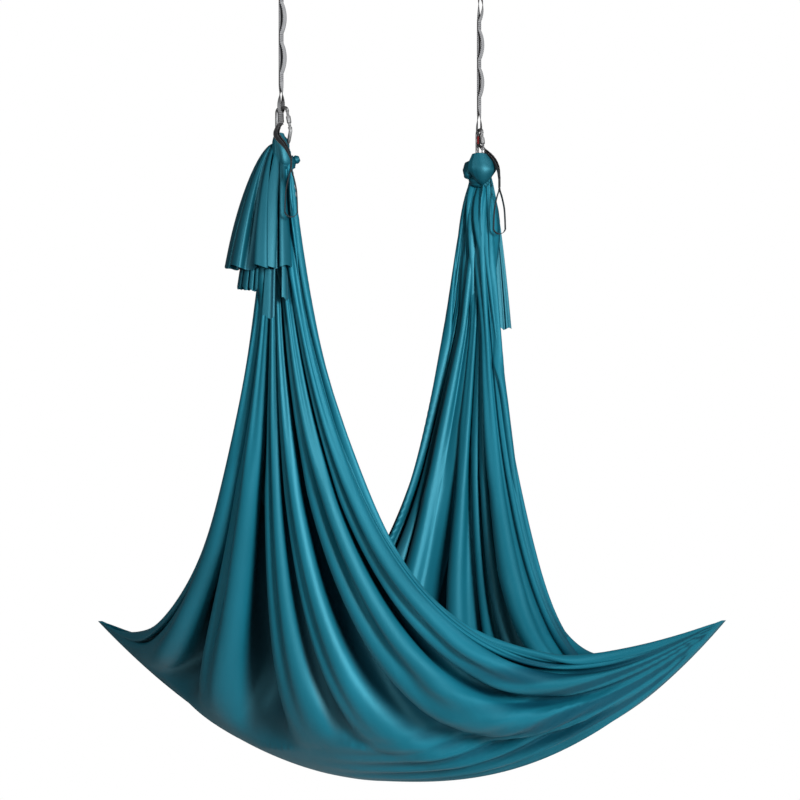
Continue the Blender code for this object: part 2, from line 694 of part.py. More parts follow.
def build_spare_pocket(side, place, twist, reach_x, reach_y, bow_side):
    """Spare length: two strands out past the ring, sewn together again at a tack.

    Returns the tack's low end and the directions across and along the webbing there.
    """
    start = STRAP_END - SEAT_GAP
    bow_x, bow_y = bow_side * math.cos(twist), bow_side * math.sin(twist)
    route = [(reach_x * a + SPARE_BOW * bow * bow_x, reach_y * b + SPARE_BOW * bow * bow_y,
              start - SPARE_DROP * c) for (a, b, c), bow in zip(SPARE_ROUTE_SHARES, SPARE_BOW_SHARES)]
    route = np.vstack([(0.0, 0.0, start), smooth_route(route, SPARE_STEPS)])
    shares = np.linspace(0.0, 1.0, len(route))
    opening = np.clip((shares - shares[1]) / (1.0 - shares[1]), 0.0, 1.0)
    swell = STRAND_OFFSET + SPARE_POCKET_BULGE * np.sin(math.pi * opening) ** SPARE_ROUNDING
    angles = (math.pi / 2.0 + twist) * (1.0 - opening) + SPARE_FACING * opening
    wide = np.stack([np.cos(angles), np.sin(angles), 0.0 * angles], axis=1)
    along = np.gradient(route, axis=0)
    along[0] = along[-1] = (0.0, 0.0, -1.0)
    apart = np.cross(along, wide)
    apart /= np.linalg.norm(apart, axis=1)[:, None]
    low = route[-1] - np.array([0.0, 0.0, TACK_LENGTH - STRAP_THICKNESS])
    left = np.vstack([route - apart * swell[:, None] / 2.0, low - apart[-1] * STRAND_OFFSET / 2.0])
    right = np.vstack([route + apart * swell[:, None] / 2.0, low + apart[-1] * STRAND_OFFSET / 2.0])
    fold = low - np.array([0.0, 0.0, STRAND_OFFSET / 2.0])
    axes = np.vstack([wide, wide[-1:]])
    widths = np.full(len(left), STRAP_WIDTH)
    widths[:3] = [STRAP_WIDTH_ON_BAR, STRAP_WIDTH_ON_BAR, (STRAP_WIDTH_ON_BAR + STRAP_WIDTH) / 2.0]
    points, faces = ribbon(np.vstack([left, fold, right[::-1]]), np.vstack([axes, wide[-1:], axes[::-1]]),
                           np.concatenate([widths, [STRAP_WIDTH], widths[::-1]]), STRAP_THICKNESS)
    add_object(f"{side}_strap_spare_pocket", points, faces, "webbing", place)
    return fold - np.array([0.0, 0.0, STRAP_THICKNESS / 2.0]), apart[-1], wide[-1]


def build_end_loop(side, place, top, apart, wide):
    """Hand loop below the last tack: a long open eye, round at the bottom."""
    half = STRAND_OFFSET / 2.0
    radius = END_LOOP_WIDTH / 2.0
    down = np.array([0.0, 0.0, -1.0])
    sides = [(half + (radius - half) * a, END_LOOP_LENGTH * b) for a, b in END_LOOP_SIDE_SHARES]
    centre = END_LOOP_LENGTH - radius
    arc = [(radius * math.cos(a), centre + radius * math.sin(a))
           for a in np.linspace(0.0, math.pi, ARC_STEPS + 1)]
    outline = [(-s, d) for s, d in sides] + [(-s, d) for s, d in arc]
    outline += [(s, d) for s, d in sides[::-1]]
    top = top + down * RUNNING_GAP
    loop = np.array([top + apart * s + down * d for s, d in outline])
    points, faces = ribbon(loop, wide, STRAP_WIDTH, STRAP_THICKNESS)
    add_object(f"{side}_strap_end_loop", points, faces, "webbing", place)


def build_label(place, twist):
    """Bare sewn tab on the rear strap, lying against the lowest pocket's back strand."""
    x = -(STRAND_OFFSET + STRAP_THICKNESS + LABEL_THICKNESS) / 2.0 - SEAT_GAP
    top = STRAP_END + LABEL_LENGTH
    low = (x - LABEL_THICKNESS / 2.0, -LABEL_WIDTH / 2.0, top - LABEL_LENGTH)
    high = (x + LABEL_THICKNESS / 2.0, LABEL_WIDTH / 2.0, top)
    tab = add_object("rear_strap_label_tab", *box_mesh(low, high), "label", place)
    tab.rotation_euler = (0.0, 0.0, twist)


def knot_reach(azimuth, polar):
    """Distance of the knot's lobed surface from its axis, in the knot's own frame.

    An ellipse seen from above, squashed to a ball seen from the side, with rounded lobes that
    wind round it like cloth pulled tight.  polar runs from 0 on top to pi underneath.
    """
    ellipse = KNOT_HALF_LENGTH * KNOT_HALF_DEPTH / math.hypot(
        KNOT_HALF_DEPTH * math.cos(azimuth), KNOT_HALF_LENGTH * math.sin(azimuth))
    wound = math.cos(KNOT_LOBES * azimuth + KNOT_WINDING * polar) * math.sin(polar)
    return (ellipse + KNOT_LOBE_DEPTH * wound) * math.sin(polar)


def knot_point(azimuth, polar, turn):
    """Point of the knot's surface, for an azimuth in the hang point's frame."""
    reach = knot_reach(azimuth - turn, polar)
    height = KNOT_CENTRE + KNOT_HALF_HEIGHT * math.cos(polar)
    return np.array([reach * math.cos(azimuth), reach * math.sin(azimuth), height])


def under_knot(x, y, turn):
    """Height of the knot's underside over a point x, y from its axis, found by halving."""
    azimuth = math.atan2(y, x) - turn
    distance = math.hypot(x, y)
    low, high = math.pi / 2.0, math.pi
    for _ in range(HALVINGS):
        middle = (low + high) / 2.0
        if knot_reach(azimuth, middle) > distance:
            low = middle
        else:
            high = middle
    return KNOT_CENTRE + KNOT_HALF_HEIGHT * math.cos(high)


def knot_ball(turn):
    """Closed faceted ball on the knot's surface, with its axis at the hang point."""
    top = KNOT_CENTRE + KNOT_HALF_HEIGHT
    points = [(0.0, 0.0, top)]
    for ring in range(1, KNOT_RINGS):
        points += [knot_point(2.0 * math.pi * side / KNOT_SIDES, math.pi * ring / KNOT_RINGS, turn)
                   for side in range(KNOT_SIDES)]
    points.append((0.0, 0.0, top - 2.0 * KNOT_HALF_HEIGHT))
    last = len(points) - 1
    faces = []
    for side in range(KNOT_SIDES):
        after = (side + 1) % KNOT_SIDES
        faces.append((0, 1 + side, 1 + after))
        for ring in range(KNOT_RINGS - 2):
            low = 1 + ring * KNOT_SIDES
            faces.append((low + side, low + KNOT_SIDES + side, low + KNOT_SIDES + after, low + after))
        low = 1 + (KNOT_RINGS - 2) * KNOT_SIDES
        faces.append((low + after, low + side, last))
    return points, faces


def build_knot(side, place, turn, twist, play):
    """Knot under the carabiner, one with the cloth bundle that goes over the bar."""
    knot = add_object(f"{side}_knot", *knot_ball(turn), "cloth", place)
    middle = CARABINER_ROD / 2.0 + play + BUNDLE_THICKNESS / 2.0
    bundle = []
    for step in range(BUNDLE_STEPS):
        angle = 2.0 * math.pi * step / BUNDLE_STEPS
        for corner in range(BUNDLE_SIDES):
            across = 2.0 * math.pi * corner / BUNDLE_SIDES
            radius = middle + BUNDLE_THICKNESS / 2.0 * math.cos(across)
            bundle.append((radius * math.cos(angle), BUNDLE_WIDTH / 2.0 * math.sin(across),
                           radius * math.sin(angle)))
    faces = ring_faces(BUNDLE_STEPS, BUNDLE_SIDES, True)
    bundle = add_object(f"{side}_bundle_guide", bundle, faces, "cloth", place)
    bundle.location = (0.0, 0.0, LOWER_BOTTOM_BAR)
    bundle.rotation_euler = (0.0, 0.0, twist)
    cut(knot, bundle, "UNION")


def grid_normals(grid):
    """Unit normals of a grid of points, from its steps down the rows and across them."""
    normal = np.cross(np.gradient(grid, axis=0), np.gradient(grid, axis=1))
    return normal / np.linalg.norm(normal, axis=2)[:, :, None]


def sheet_solid(name, grid, thickness, place=None):
    """Closed thin solid on a grid of points: two faces half a thickness off it, and its rims."""
    rows, columns, _ = grid.shape
    normal = grid_normals(grid)
    outer = (grid + normal * thickness / 2.0).reshape(-1, 3)
    inner = (grid - normal * thickness / 2.0).reshape(-1, 3)
    size = rows * columns
    faces = []
    for r in range(rows - 1):
        for c in range(columns - 1):
            a = r * columns + c
            b = a + 1
            d = a + columns
            e = d + 1
            faces.append((a, b, e, d))
            faces.append((size + d, size + e, size + b, size + a))
    rim = list(range(columns))
    rim += [r * columns + columns - 1 for r in range(1, rows)]
    rim += [(rows - 1) * columns + c for c in range(columns - 2, -1, -1)]
    rim += [r * columns for r in range(rows - 2, 0, -1)]
    for index, here in enumerate(rim):
        after = rim[(index + 1) % len(rim)]
        faces.append((here, size + here, size + after, after))
    points = np.vstack([outer, inner])
    middle = np.vstack([grid.reshape(-1, 3)] * 2)
    return add_object(name, points, split_warped(points, faces, middle), "cloth", place)


def keel_point(share):
    """Lowest line of the sling from tip (-1) to tip (+1): a sagging power curve."""
    sag = KEEL_SAG * (1.0 - abs(share) ** KEEL_ROUNDING)
    return np.array([TIP_SKEW * share, -TIP_REACH * share, -TIP_DROP + TIP_TILT * share - sag])


def leg_curve(leg, share):
    """The four Bezier points of one fold line of a leg, from knot to keel.

    leg is -1 for the front leg and +1 for the rear one, and share runs from
    -1 at the left selvedge, over 0 in the middle, to +1 at the right one.
    """
    fall = {(-1, 1): FRONT_RIGHT_FALL, (-1, -1): FRONT_LEFT_FALL,
            (1, 1): REAR_RIGHT_FALL, (1, -1): REAR_LEFT_FALL}
    run = {(-1, 1): FRONT_RIGHT_RUN, (-1, -1): FRONT_LEFT_RUN,
           (1, 1): REAR_RIGHT_RUN, (1, -1): REAR_LEFT_RUN}
    dip = {(-1, 1): FRONT_RIGHT_DIP, (-1, -1): FRONT_LEFT_DIP,
           (1, 1): REAR_RIGHT_DIP, (1, -1): REAR_LEFT_DIP}
    hand = 1 if share >= 0.0 else -1
    edge = abs(share) ** 3
    flat = share ** 2
    keel = keel_point(share * (1.0 + KEEL_SPREAD_SHARE - KEEL_SPREAD_SHARE * flat))
    keel[0] += leg * KEEL_HALF_WIDTH
    out = leg * SHEET_TOP_DEPTH * (1.0 - flat)
    start = np.array([leg * HANG_SPACING / 2.0 + out, -SHEET_TOP_HALF_WIDTH * share, SHEET_TOP])
    drop = CENTRE_FALL + (fall[leg, hand] - CENTRE_FALL) * flat
    first = start + np.array([-leg * EDGE_SKEW * edge, -EDGE_FLARE * share, -drop])
    second = keel + np.array([leg * (CENTRE_BELLY + (TIP_BELLY - CENTRE_BELLY) * edge),
                              hand * run[leg, hand] * edge, -dip[leg, hand] * edge])
    return np.array([start, first, second, keel])


def smooth_step(value):
    """0 up to 0, 1 from 1 on, and an S curve between."""
    value = min(max(value, 0.0), 1.0)
    return value * value * (3.0 - 2.0 * value)


def fold_depth(along):
    """Depth of the folds: gathered tight at the knot, deep down the leg, easing at the keel."""
    grown = smooth_step(along / FOLD_GROWN_SHARE)
    eased = smooth_step((along - FOLD_EASING_SHARE) / (1.0 - FOLD_EASING_SHARE))
    depth = FOLD_DEPTH_TOP + (FOLD_DEPTH_LEG - FOLD_DEPTH_TOP) * grown
    return depth + (FOLD_DEPTH_KEEL - depth) * eased


def seat_under_knot(grid, row, leg, turn):
    """Set the heights of an end row so that the sheet's edge meets the knot's underside."""
    normal = grid_normals(grid)[row]
    for column, point in enumerate(grid[row]):
        sides = [point + normal[column] * SHEET_THICKNESS / 2.0 * hand for hand in (-1, 1)]
        heights = [under_knot(x - leg * HANG_SPACING / 2.0, y, turn) for x, y, _ in sides]
        point[2] = min(heights) - SEAT_GAP


def sheet_grid():
    """Middle surface of the sling with its main folds, row by row from front to rear knot."""
    columns = FOLD_COUNT * 4 + 1
    shares = np.linspace(-1.0, 1.0, columns)
    alongs = np.linspace(0.0, 1.0, ROWS_PER_LEG + 1)
    rows = []
    depths = []
    for leg, order in ((-1, alongs), (1, alongs[::-1])):
        curves = np.array([leg_curve(leg, share) for share in shares])
        for t in order:
            weights = np.array([(1 - t) ** 3, 3 * t * (1 - t) ** 2, 3 * t * t * (1 - t), t ** 3])
            rows.append(np.einsum("k,ckx->cx", weights, curves))
            depths.append(fold_depth(t))
    grid = np.array(rows)
    index = np.arange(columns)
    uneven = 1.0 - FOLD_UNEVEN_SHARE + FOLD_UNEVEN_SHARE * np.sin(index * FOLD_BEAT)
    wave = np.sin(index * math.pi / 2.0) * uneven * (1.0 - SELVEDGE_FLAT_SHARE * shares ** 4)
    grid += grid_normals(grid) * wave[None, :, None] * np.array(depths)[:, None, None]
    seat_under_knot(grid, 0, -1, FRONT_KNOT_TURN)
    seat_under_knot(grid, -1, 1, REAR_KNOT_TURN)
    return grid


def tail_rows(start, reach, length, turn, azimuth):
    """Points down one line of a tail, and the depth of its folds: over the knot, then to its hem."""
    steps = math.ceil((math.pi / 2.0 - start) / TAIL_STEP_OVER_KNOT)
    rows = [knot_point(azimuth, polar, turn) for polar in np.linspace(start, math.pi / 2.0, steps + 1)]
    wide = knot_reach(azimuth - turn, math.pi / 2.0)
    depths = [TAIL_FOLD_TOP] * len(rows)
    for share in TAIL_FALL_SHARES:
        radius = wide + (reach - wide) * (1.0 - (1.0 - share) ** TAIL_FLARE)
        rows.append(np.array([radius * math.cos(azimuth), radius * math.sin(azimuth),
                              KNOT_CENTRE - length * share]))
        depths.append(TAIL_FOLD_TOP + (TAIL_FOLD_DEPTH - TAIL_FOLD_TOP) * share)
    return np.array(rows), np.array(depths)


def build_tail(side, place, turn, folds, start, reach, length, facing, span):
    """Loose tail: a pleated curtain that leaves the knot's side and flares to an uneven hem."""
    columns = folds * 4 + 1
    row_count = len(tail_rows(start, reach, length, turn, facing)[0])
    grid = np.zeros((row_count, columns, 3))
    spread = span * (TAIL_GATHER_SHARE + (1.0 - TAIL_GATHER_SHARE) * np.linspace(0.0, 1.0, row_count))
    for column in range(columns):
        hem = 1.0 - TAIL_HEM_SHARE * (1.0 + math.sin(column * TAIL_HEM_BEAT + folds)) / 2.0
        for row in range(row_count):
            azimuth = facing + spread[row] * (column / (columns - 1.0) - 0.5)
            points, depths = tail_rows(start, reach, length * hem, turn, azimuth)
            grid[row, column] = points[row]
    column = np.arange(columns)
    uneven = 1.0 - TAIL_FOLD_UNEVEN_SHARE + TAIL_FOLD_UNEVEN_SHARE * np.sin(column * TAIL_FOLD_BEAT)
    fold = np.sin(column * math.pi / 2.0) * uneven
    over = TAIL_THICKNESS / 2.0 + TAIL_FOLD_TOP + RUNNING_GAP
    grid += grid_normals(grid) * (over + depths[:, None] * fold[None, :])[:, :, None]
    sheet_solid(f"{side}_tail", grid, TAIL_THICKNESS, place)


def build_side(side, leg, twist, reach_x, reach_y):
    """Everything that hangs from one ceiling anchor, down to the knot."""
    place = add_empty(f"{side}_hang_point", (leg * HANG_SPACING / 2.0, 0.0, 0.0))
    build_anchor(side, place)
    upper = add_empty(f"{side}_upper_centre",
                      (0.0, LOAD_SIDE, (UPPER_TOP_BAR + UPPER_BOTTOM_BAR) / 2.0), 0.0, place)
    build_carabiner(f"{side}_upper_carabiner", upper)
    build_strap(side, place, twist)
    lower_axis = add_empty(f"{side}_lower_axis", (0.0, 0.0, 0.0), twist, place)
    lower = add_empty(f"{side}_lower_centre",
                      (0.0, LOAD_SIDE, (LOWER_TOP_BAR + LOWER_BOTTOM_BAR) / 2.0), 0.0, lower_axis)
    build_carabiner(f"{side}_lower_carabiner", lower)
    low, apart, wide = build_spare_pocket(side, place, twist, reach_x, reach_y, leg)
    build_end_loop(side, place, low, apart, wide)
    return place


def build_hammock():
    """Both sides, then the cloth that they share."""
    front = build_side("front", -1, 0.0, FRONT_SPARE_X, FRONT_SPARE_Y)
    rear = build_side("rear", 1, REAR_TWIST, REAR_SPARE_X, REAR_SPARE_Y)
    build_label(rear, REAR_TWIST)
    build_knot("front", front, FRONT_KNOT_TURN, 0.0, BUNDLE_PLAY)
    build_knot("rear", rear, REAR_KNOT_TURN, REAR_TWIST, OPEN_PIVOT_PLAY)
    sheet_solid("hammock_sheet", sheet_grid(), SHEET_THICKNESS)
    build_tail("front", front, FRONT_KNOT_TURN, FRONT_TAIL_FOLD_COUNT, FRONT_TAIL_START, FRONT_TAIL_REACH,
               FRONT_TAIL_LENGTH, FRONT_TAIL_FACING, FRONT_TAIL_SPAN)
    build_tail("rear", rear, REAR_KNOT_TURN, REAR_TAIL_FOLD_COUNT, REAR_TAIL_START, REAR_TAIL_REACH,
               REAR_TAIL_LENGTH, REAR_TAIL_FACING, REAR_TAIL_SPAN)


clear_scene()
build_hammock()
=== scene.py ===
"""Looks of an aerial hammock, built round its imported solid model.

A wide sling of satin tricot hangs by two knots from locking carabiners, sewn
daisy-chain straps and bolted ceiling anchors.

Frame: metres, +Z up, Z = 0 at the ceiling.  X runs from the front hang point
to the rear one, and Y along the spread cloth, from tip to tip.

The cloth's middle surface is a net of cubic Bezier curves, one down each fold
line from knot to keel.  Its folds are sine-generated curves: the turning angle
across a fold is a cosine of the cloth's own width coordinate, and its largest
angle follows from how far the cut width is gathered at that place.
"""

import json
import logging
import math
from dataclasses import dataclass
from enum import Enum

import bpy
import numpy as np
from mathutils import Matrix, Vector


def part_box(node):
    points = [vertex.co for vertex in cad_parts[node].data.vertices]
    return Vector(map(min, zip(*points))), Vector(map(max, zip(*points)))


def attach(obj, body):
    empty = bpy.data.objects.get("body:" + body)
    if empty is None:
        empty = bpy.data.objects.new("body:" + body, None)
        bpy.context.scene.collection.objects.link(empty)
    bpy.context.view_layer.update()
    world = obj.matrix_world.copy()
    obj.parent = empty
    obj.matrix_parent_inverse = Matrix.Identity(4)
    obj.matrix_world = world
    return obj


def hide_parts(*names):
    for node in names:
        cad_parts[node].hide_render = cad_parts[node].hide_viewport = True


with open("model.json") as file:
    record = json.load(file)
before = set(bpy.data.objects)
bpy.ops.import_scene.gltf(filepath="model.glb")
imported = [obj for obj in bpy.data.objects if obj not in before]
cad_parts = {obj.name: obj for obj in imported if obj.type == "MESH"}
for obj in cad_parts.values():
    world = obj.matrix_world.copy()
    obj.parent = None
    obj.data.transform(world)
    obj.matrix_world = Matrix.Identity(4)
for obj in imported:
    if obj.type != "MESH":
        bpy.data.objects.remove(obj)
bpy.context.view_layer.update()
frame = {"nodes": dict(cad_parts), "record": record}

logging.basicConfig(level=logging.INFO, format="%(message)s")
log = logging.getLogger("hammock")

# Sizes shared with the solid model, in metres, and the turn of its rear carabiner
HANG_SPACING = 0.749
UPPER_BOTTOM_BAR = -0.1332
LOWER_TOP_BAR = -0.5967
LOWER_BOTTOM_BAR = -0.6947
TOP_TACK = -0.1867
BOTTOM_TACK = -0.6227
POCKET_PITCH = 0.109
TACK_LENGTH = 0.027
STRAP_END = BOTTOM_TACK - TACK_LENGTH / 2.0
STRAP_WIDTH = 0.022
STRAP_WIDTH_ON_BAR = 0.015
WIDENING_LENGTH = 0.040
STRAP_THICKNESS = 0.0016
STRAND_OFFSET = 0.0020
STRAND_GAP = 0.0004
POCKET_BULGE = 0.010
POCKET_ROUNDING = 0.8
CARABINER_ROD = 0.010
RUNNING_GAP = 0.0004
SEAT_GAP = 0.0003
KNOT_CENTRE = -0.7362
KNOT_HALF_HEIGHT = 0.032
SHEET_TOP = KNOT_CENTRE - KNOT_HALF_HEIGHT
REAR_TWIST = math.radians(-26.0)
LOOP_LENGTH = 0.130
LOOP_RADIUS = 0.017
SPARE_LENGTH = 0.108
SPARE_BOW = 0.020

# Flat cloth, and turns that only the looks have
FLAT_WIDTH = 2.80
FLAT_LENGTH = 3.70
TAIL_FULLNESS = 1.5
TAIL_TOP = KNOT_CENTRE + 0.044
TAIL_WAIST = 0.016
POCKET_TURN = math.radians(-70.0)
VIEW_TURN = math.radians(-42.6)

# Small folds and trim of the looks: lengths in metres, the number of ridges and their height per spacing
KEEL_PLEAT_PITCH = 0.043
KEEL_PLEAT_HEIGHT = 0.0125
TIP_RIDGES = 6.0
TIP_RIDGE_HEIGHT = 0.014
TIP_RIDGE_STEEPNESS = 0.130
HEM_HALF_WIDTH = 0.0160
HEM_PUCKER_PITCH = 0.024
BUNDLE_THICKNESS = 0.0195
BAR_PITCH = 0.0058
BAR_HALF_LENGTH = 0.0088
BAR_SLANT = 0.0022
BAR_HEIGHT = 0.0019

WHITE = (1.0, 1.0, 1.0, 1.0)


class Slot(Enum):
    """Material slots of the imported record."""

    CLOTH = "sling_cloth"
    WEBBING = "webbing"
    LABEL = "label_tab"
    CARABINER = "carabiner_steel"
    ANCHOR = "anchor_steel"
    BOLT = "bolt_zinc"
    SPRING = "spring_steel"


# Numeric helpers


def smooth_step(value: np.ndarray) -> np.ndarray:
    """Eases from 0 to 1 with level ends: three times the square less twice the cube."""
    value = np.clip(value, 0.0, 1.0)
    return value * value * (3.0 - 2.0 * value)


def unit(vectors: np.ndarray) -> np.ndarray:
    """Vectors at length one, along the last axis."""
    return vectors / np.maximum(np.linalg.norm(vectors, axis=-1, keepdims=True), 1e-12)


def tangents(path: np.ndarray) -> np.ndarray:
    """Unit directions along a path, from its neighbouring points."""
    return unit(np.gradient(path, axis=0))


def grid_normals(grid: np.ndarray) -> np.ndarray:
    """Unit normals of a grid of points: the cross product of its two directions."""
    return unit(np.cross(np.gradient(grid, axis=0), np.gradient(grid, axis=1)))


def ripple(place: np.ndarray, beats: tuple, seed: float) -> np.ndarray:
    """Smooth irregular values from -1 to 1: the mean of sines at several beats.

    Args:
        place: where to read it.
        beats: cycles per unit of place, one for each sine.
        seed: shifts the sines against each other.
    """
    total = np.zeros_like(place)
    for index, beat in enumerate(beats):
        total += np.sin(math.tau * beat * place + seed * (1.7 + 2.3 * index))
    return total / len(beats)


def bessel(order: int, value: np.ndarray) -> np.ndarray:
    """Bessel function of the first kind: the mean of cos(order a - value sin a) over a turn."""
    angle = (np.arange(256) + 0.5) * math.pi / 256.0
    return np.cos(order * angle - np.asarray(value)[..., None] * np.sin(angle)).mean(axis=-1)


class Meander:
    """Sine-generated curve, the shape of a fold of gathered cloth.

    The direction of the cloth swings as turn times the cosine of the phase.  Its
    steady advance is J0(turn), and the rest is a Fourier series of Bessel values:
    across = sum of even orders, outward = sum of odd orders.

    Attributes:
        TOP: largest turning angle, in radians.
        turns: turning angles from 0 to it.
        orders: Bessel values of orders 0 to 5 at these angles.
    """

    TOP = 2.15

    def __init__(self) -> None:
        self.turns = np.linspace(0.0, self.TOP, 200)
        self.orders = [bessel(order, self.turns) for order in range(6)]

    def turn_for(self, gather: np.ndarray) -> np.ndarray:
        """Largest turning angle at which the cloth takes 1 / gather of its flat width."""
        advance = self.orders[0]
        return np.interp(1.0 / np.maximum(gather, 1.0), advance[::-1], self.turns[::-1])

    def offsets(self, phase: np.ndarray, turn: np.ndarray) -> tuple:
        """How far the cloth lies across and outward of its middle line, per radian of phase."""
        value = [np.interp(turn, self.turns, order) for order in self.orders]
        across = -value[2] * np.sin(2.0 * phase) + value[4] * np.sin(4.0 * phase) / 2.0
        outward = 2.0 * (value[1] * np.sin(phase) - value[3] * np.sin(3.0 * phase) / 3.0
                         + value[5] * np.sin(5.0 * phase) / 5.0)
        return across, outward


MEANDER = Meander()


def resampled(values: np.ndarray, steps: np.ndarray, places: np.ndarray) -> np.ndarray:
    """Rows of three values, given at steps, read between them at places."""
    return np.stack([np.interp(places, steps, values[:, axis]) for axis in range(3)], axis=-1)


def catmull(points: np.ndarray, place: np.ndarray) -> np.ndarray:
    """Catmull-Rom curve through points, read at places counted in points."""
    padded = np.vstack([2 * points[0] - points[1], points, 2 * points[-1] - points[-2]])
    index = np.minimum(place.astype(int), len(points) - 2)
    t = (place - index)[:, None]
    a, b, c, d = (padded[index + shift] for shift in range(4))
    bend = (2 * a - 5 * b + 4 * c - d) * t ** 2 + (3 * b - a - 3 * c + d) * t ** 3
    return 0.5 * (2 * b + (c - a) * t + bend)


def turned(x: np.ndarray, y: np.ndarray, turn: float) -> tuple:
    """X and Y after a turn about Z."""
    return x * math.cos(turn) - y * math.sin(turn), x * math.sin(turn) + y * math.cos(turn)


def level_axes(turn: np.ndarray) -> tuple:
    """Level unit vectors at turns about Z, and those a quarter turn further on."""
    cos, sin, level = np.cos(turn), np.sin(turn), 0.0 * turn
    return np.stack([cos, sin, level], axis=-1), np.stack([-sin, cos, level], axis=-1)


def section_axes(path: np.ndarray, aside: np.ndarray) -> tuple:
    """Unit vectors square to a path, the first as near as can be to a given direction."""
    along = tangents(path)
    wide = unit(aside - along * (aside * along).sum(axis=1)[:, None])
    return wide, np.cross(along, wide)


# Mesh helpers


def mesh_object(name: str, points: np.ndarray, loops: np.ndarray, totals: np.ndarray,
                flat: np.ndarray, values: dict) -> bpy.types.Object:
    """Smooth object from arrays.

    Args:
        name: object name.
        points: place of each point.
        loops: point of each corner, one polygon after another.
        totals: number of corners of each polygon.
        flat: flat place of each corner, in metres.
        values: named number for each point.
    """
    mesh = bpy.data.meshes.new(name)
    mesh.vertices.add(points.size // 3)
    mesh.vertices.foreach_set("co", points.astype(np.float32).ravel())
    mesh.loops.add(len(loops))
    mesh.loops.foreach_set("vertex_index", loops.astype(np.int32))
    mesh.polygons.add(len(totals))
    starts = np.concatenate([[0], np.cumsum(totals)[:-1]])
    mesh.polygons.foreach_set("loop_start", starts.astype(np.int32))
    mesh.update(calc_edges=True)
    mesh.uv_layers.new(name="flat").data.foreach_set("uv", flat.astype(np.float32).ravel())
    for key, data in values.items():
        attribute = mesh.attributes.new(key, "FLOAT", "POINT")
        attribute.data.foreach_set("value", data.astype(np.float32).ravel())
    mesh.shade_smooth()
    obj = bpy.data.objects.new(name, mesh)
    bpy.context.scene.collection.objects.link(obj)
    return obj


def grid_object(name: str, grid: np.ndarray, u: np.ndarray, v: np.ndarray, wrap: bool = False,
                cap: bool = False, values: dict = None) -> bpy.types.Object:
    """Object on a grid of points.

    Args:
        name: object name.
        grid: points, (rows, columns, 3).
        u: flat distance across for each column, with one more where the columns wrap.
        v: flat distance along for each row.
        wrap: whether the columns close on themselves.
        cap: whether both ends of a wrapped grid are closed.
        values: named number for each point.
    """
    rows, columns = grid.shape[:2]
    r = np.arange(rows - 1)[:, None] * columns
    c = np.arange(columns if wrap else columns - 1)[None, :]
    after = (c + 1) % columns
    quads = np.stack([r + c, r + after, r + columns + after, r + columns + c], axis=-1).reshape(-1, 4)
    uv = np.stack(np.broadcast_arrays(u[None, :], v[:, None]), axis=-1)
    corners = np.stack([uv[:-1, :-1], uv[:-1, 1:], uv[1:, 1:], uv[1:, :-1]], axis=2).reshape(-1, 2)
    ring = np.arange(columns)
    ends = [ring[::-1], (rows - 1) * columns + ring] if cap else []
    loops = np.concatenate([quads.ravel(), *ends])
    totals = np.array([4] * len(quads) + [columns] * len(ends))
    flat = np.vstack([corners, np.zeros((len(loops) - len(corners), 2))])
    return mesh_object(name, grid, loops, totals, flat, values or {})


def tube(name: str, grid: np.ndarray, around: float, length: float, cap: bool = False) -> bpy.types.Object:
    """Object on a grid that closes on itself, with even flat distances around and along."""
    rows, columns = grid.shape[:2]
    return grid_object(name, grid, np.linspace(0.0, around, columns + 1), np.linspace(0.0, length, rows),
                       wrap=True, cap=cap)


def joined(name: str, parts: list) -> bpy.types.Object:
    """Several objects as one, with their flat places and the valley values that set painted shade."""
    def read(items, key: str, size: int = 1, kind: type = np.float32) -> np.ndarray:
        values = np.zeros(len(items) * size, kind)
        items.foreach_get(key, values)
        return values

    points, loops, totals, flat, lows, base = [], [], [], [], [], 0
    for part in parts:
        mesh = part.data
        points.append(read(mesh.vertices, "co", 3))
        loops.append(read(mesh.loops, "vertex_index", 1, np.int32) + base)
        totals.append(read(mesh.polygons, "loop_total", 1, np.int32))
        flat.append(read(mesh.uv_layers[0].data, "uv", 2))
        low = mesh.attributes.get("valley_shade")
        lows.append(read(low.data, "value") if low else np.ones(len(mesh.vertices)))
        base += len(mesh.vertices)
        bpy.data.objects.remove(part)
    return mesh_object(name, np.concatenate(points), np.concatenate(loops), np.concatenate(totals),
                       np.concatenate(flat), {"valley_shade": np.concatenate(lows)})


# Materials


@dataclass(frozen=True)
class ClothFinish:
    """Satin tricot: colours, gloss and the size of its knit, with a painted shade colour for the valleys of
    the folds and a painted greyer colour for light let through a single layer.
    """

    name: str = "satin_tricot"
    deep: tuple = (0.0026, 0.070, 0.102, 1.0)
    plain: tuple = (0.0040, 0.093, 0.136, 1.0)
    # painted light: the greyer colour where light from behind shows through a single layer
    thin: tuple = (0.0260, 0.066, 0.082, 1.0)
    # painted shade: the colour that the valleys of the folds are multiplied by
    shade: tuple = (0.32, 0.42, 0.48, 1.0)
    gloss: tuple = (0.22, 0.80, 1.0, 1.0)
    roughness: float = 0.42
    specular: float = 0.70
    wale: float = 0.0012
    course: float = 0.0010


@dataclass(frozen=True)
class WebbingFinish:
    """Two-tone polyester webbing: colours, its rows of stitches and the pitches of its weave."""

    name: str = "two_tone_webbing"
    dark: tuple = (0.005, 0.005, 0.006, 1.0)
    pale: tuple = (0.300, 0.305, 0.315, 1.0)
    stitch: tuple = (0.36, 0.36, 0.37, 1.0)
    band_edge: float = 0.0078
    stitch_place: float = 0.0093
    stitch_length: float = 0.0060
    rib: float = 0.0017
    warp: float = 0.0012
    roughness: float = 0.50


@dataclass(frozen=True)
class MetalFinish:
    """Metal: colour, gloss and how strongly its surface is drawn or worn."""

    colour: tuple = (0.30, 0.305, 0.31, 1.0)
    worn: tuple = (0.13, 0.13, 0.135, 1.0)
    roughness: float = 0.36
    scratch: float = 0.05
    grain: float = 260.0


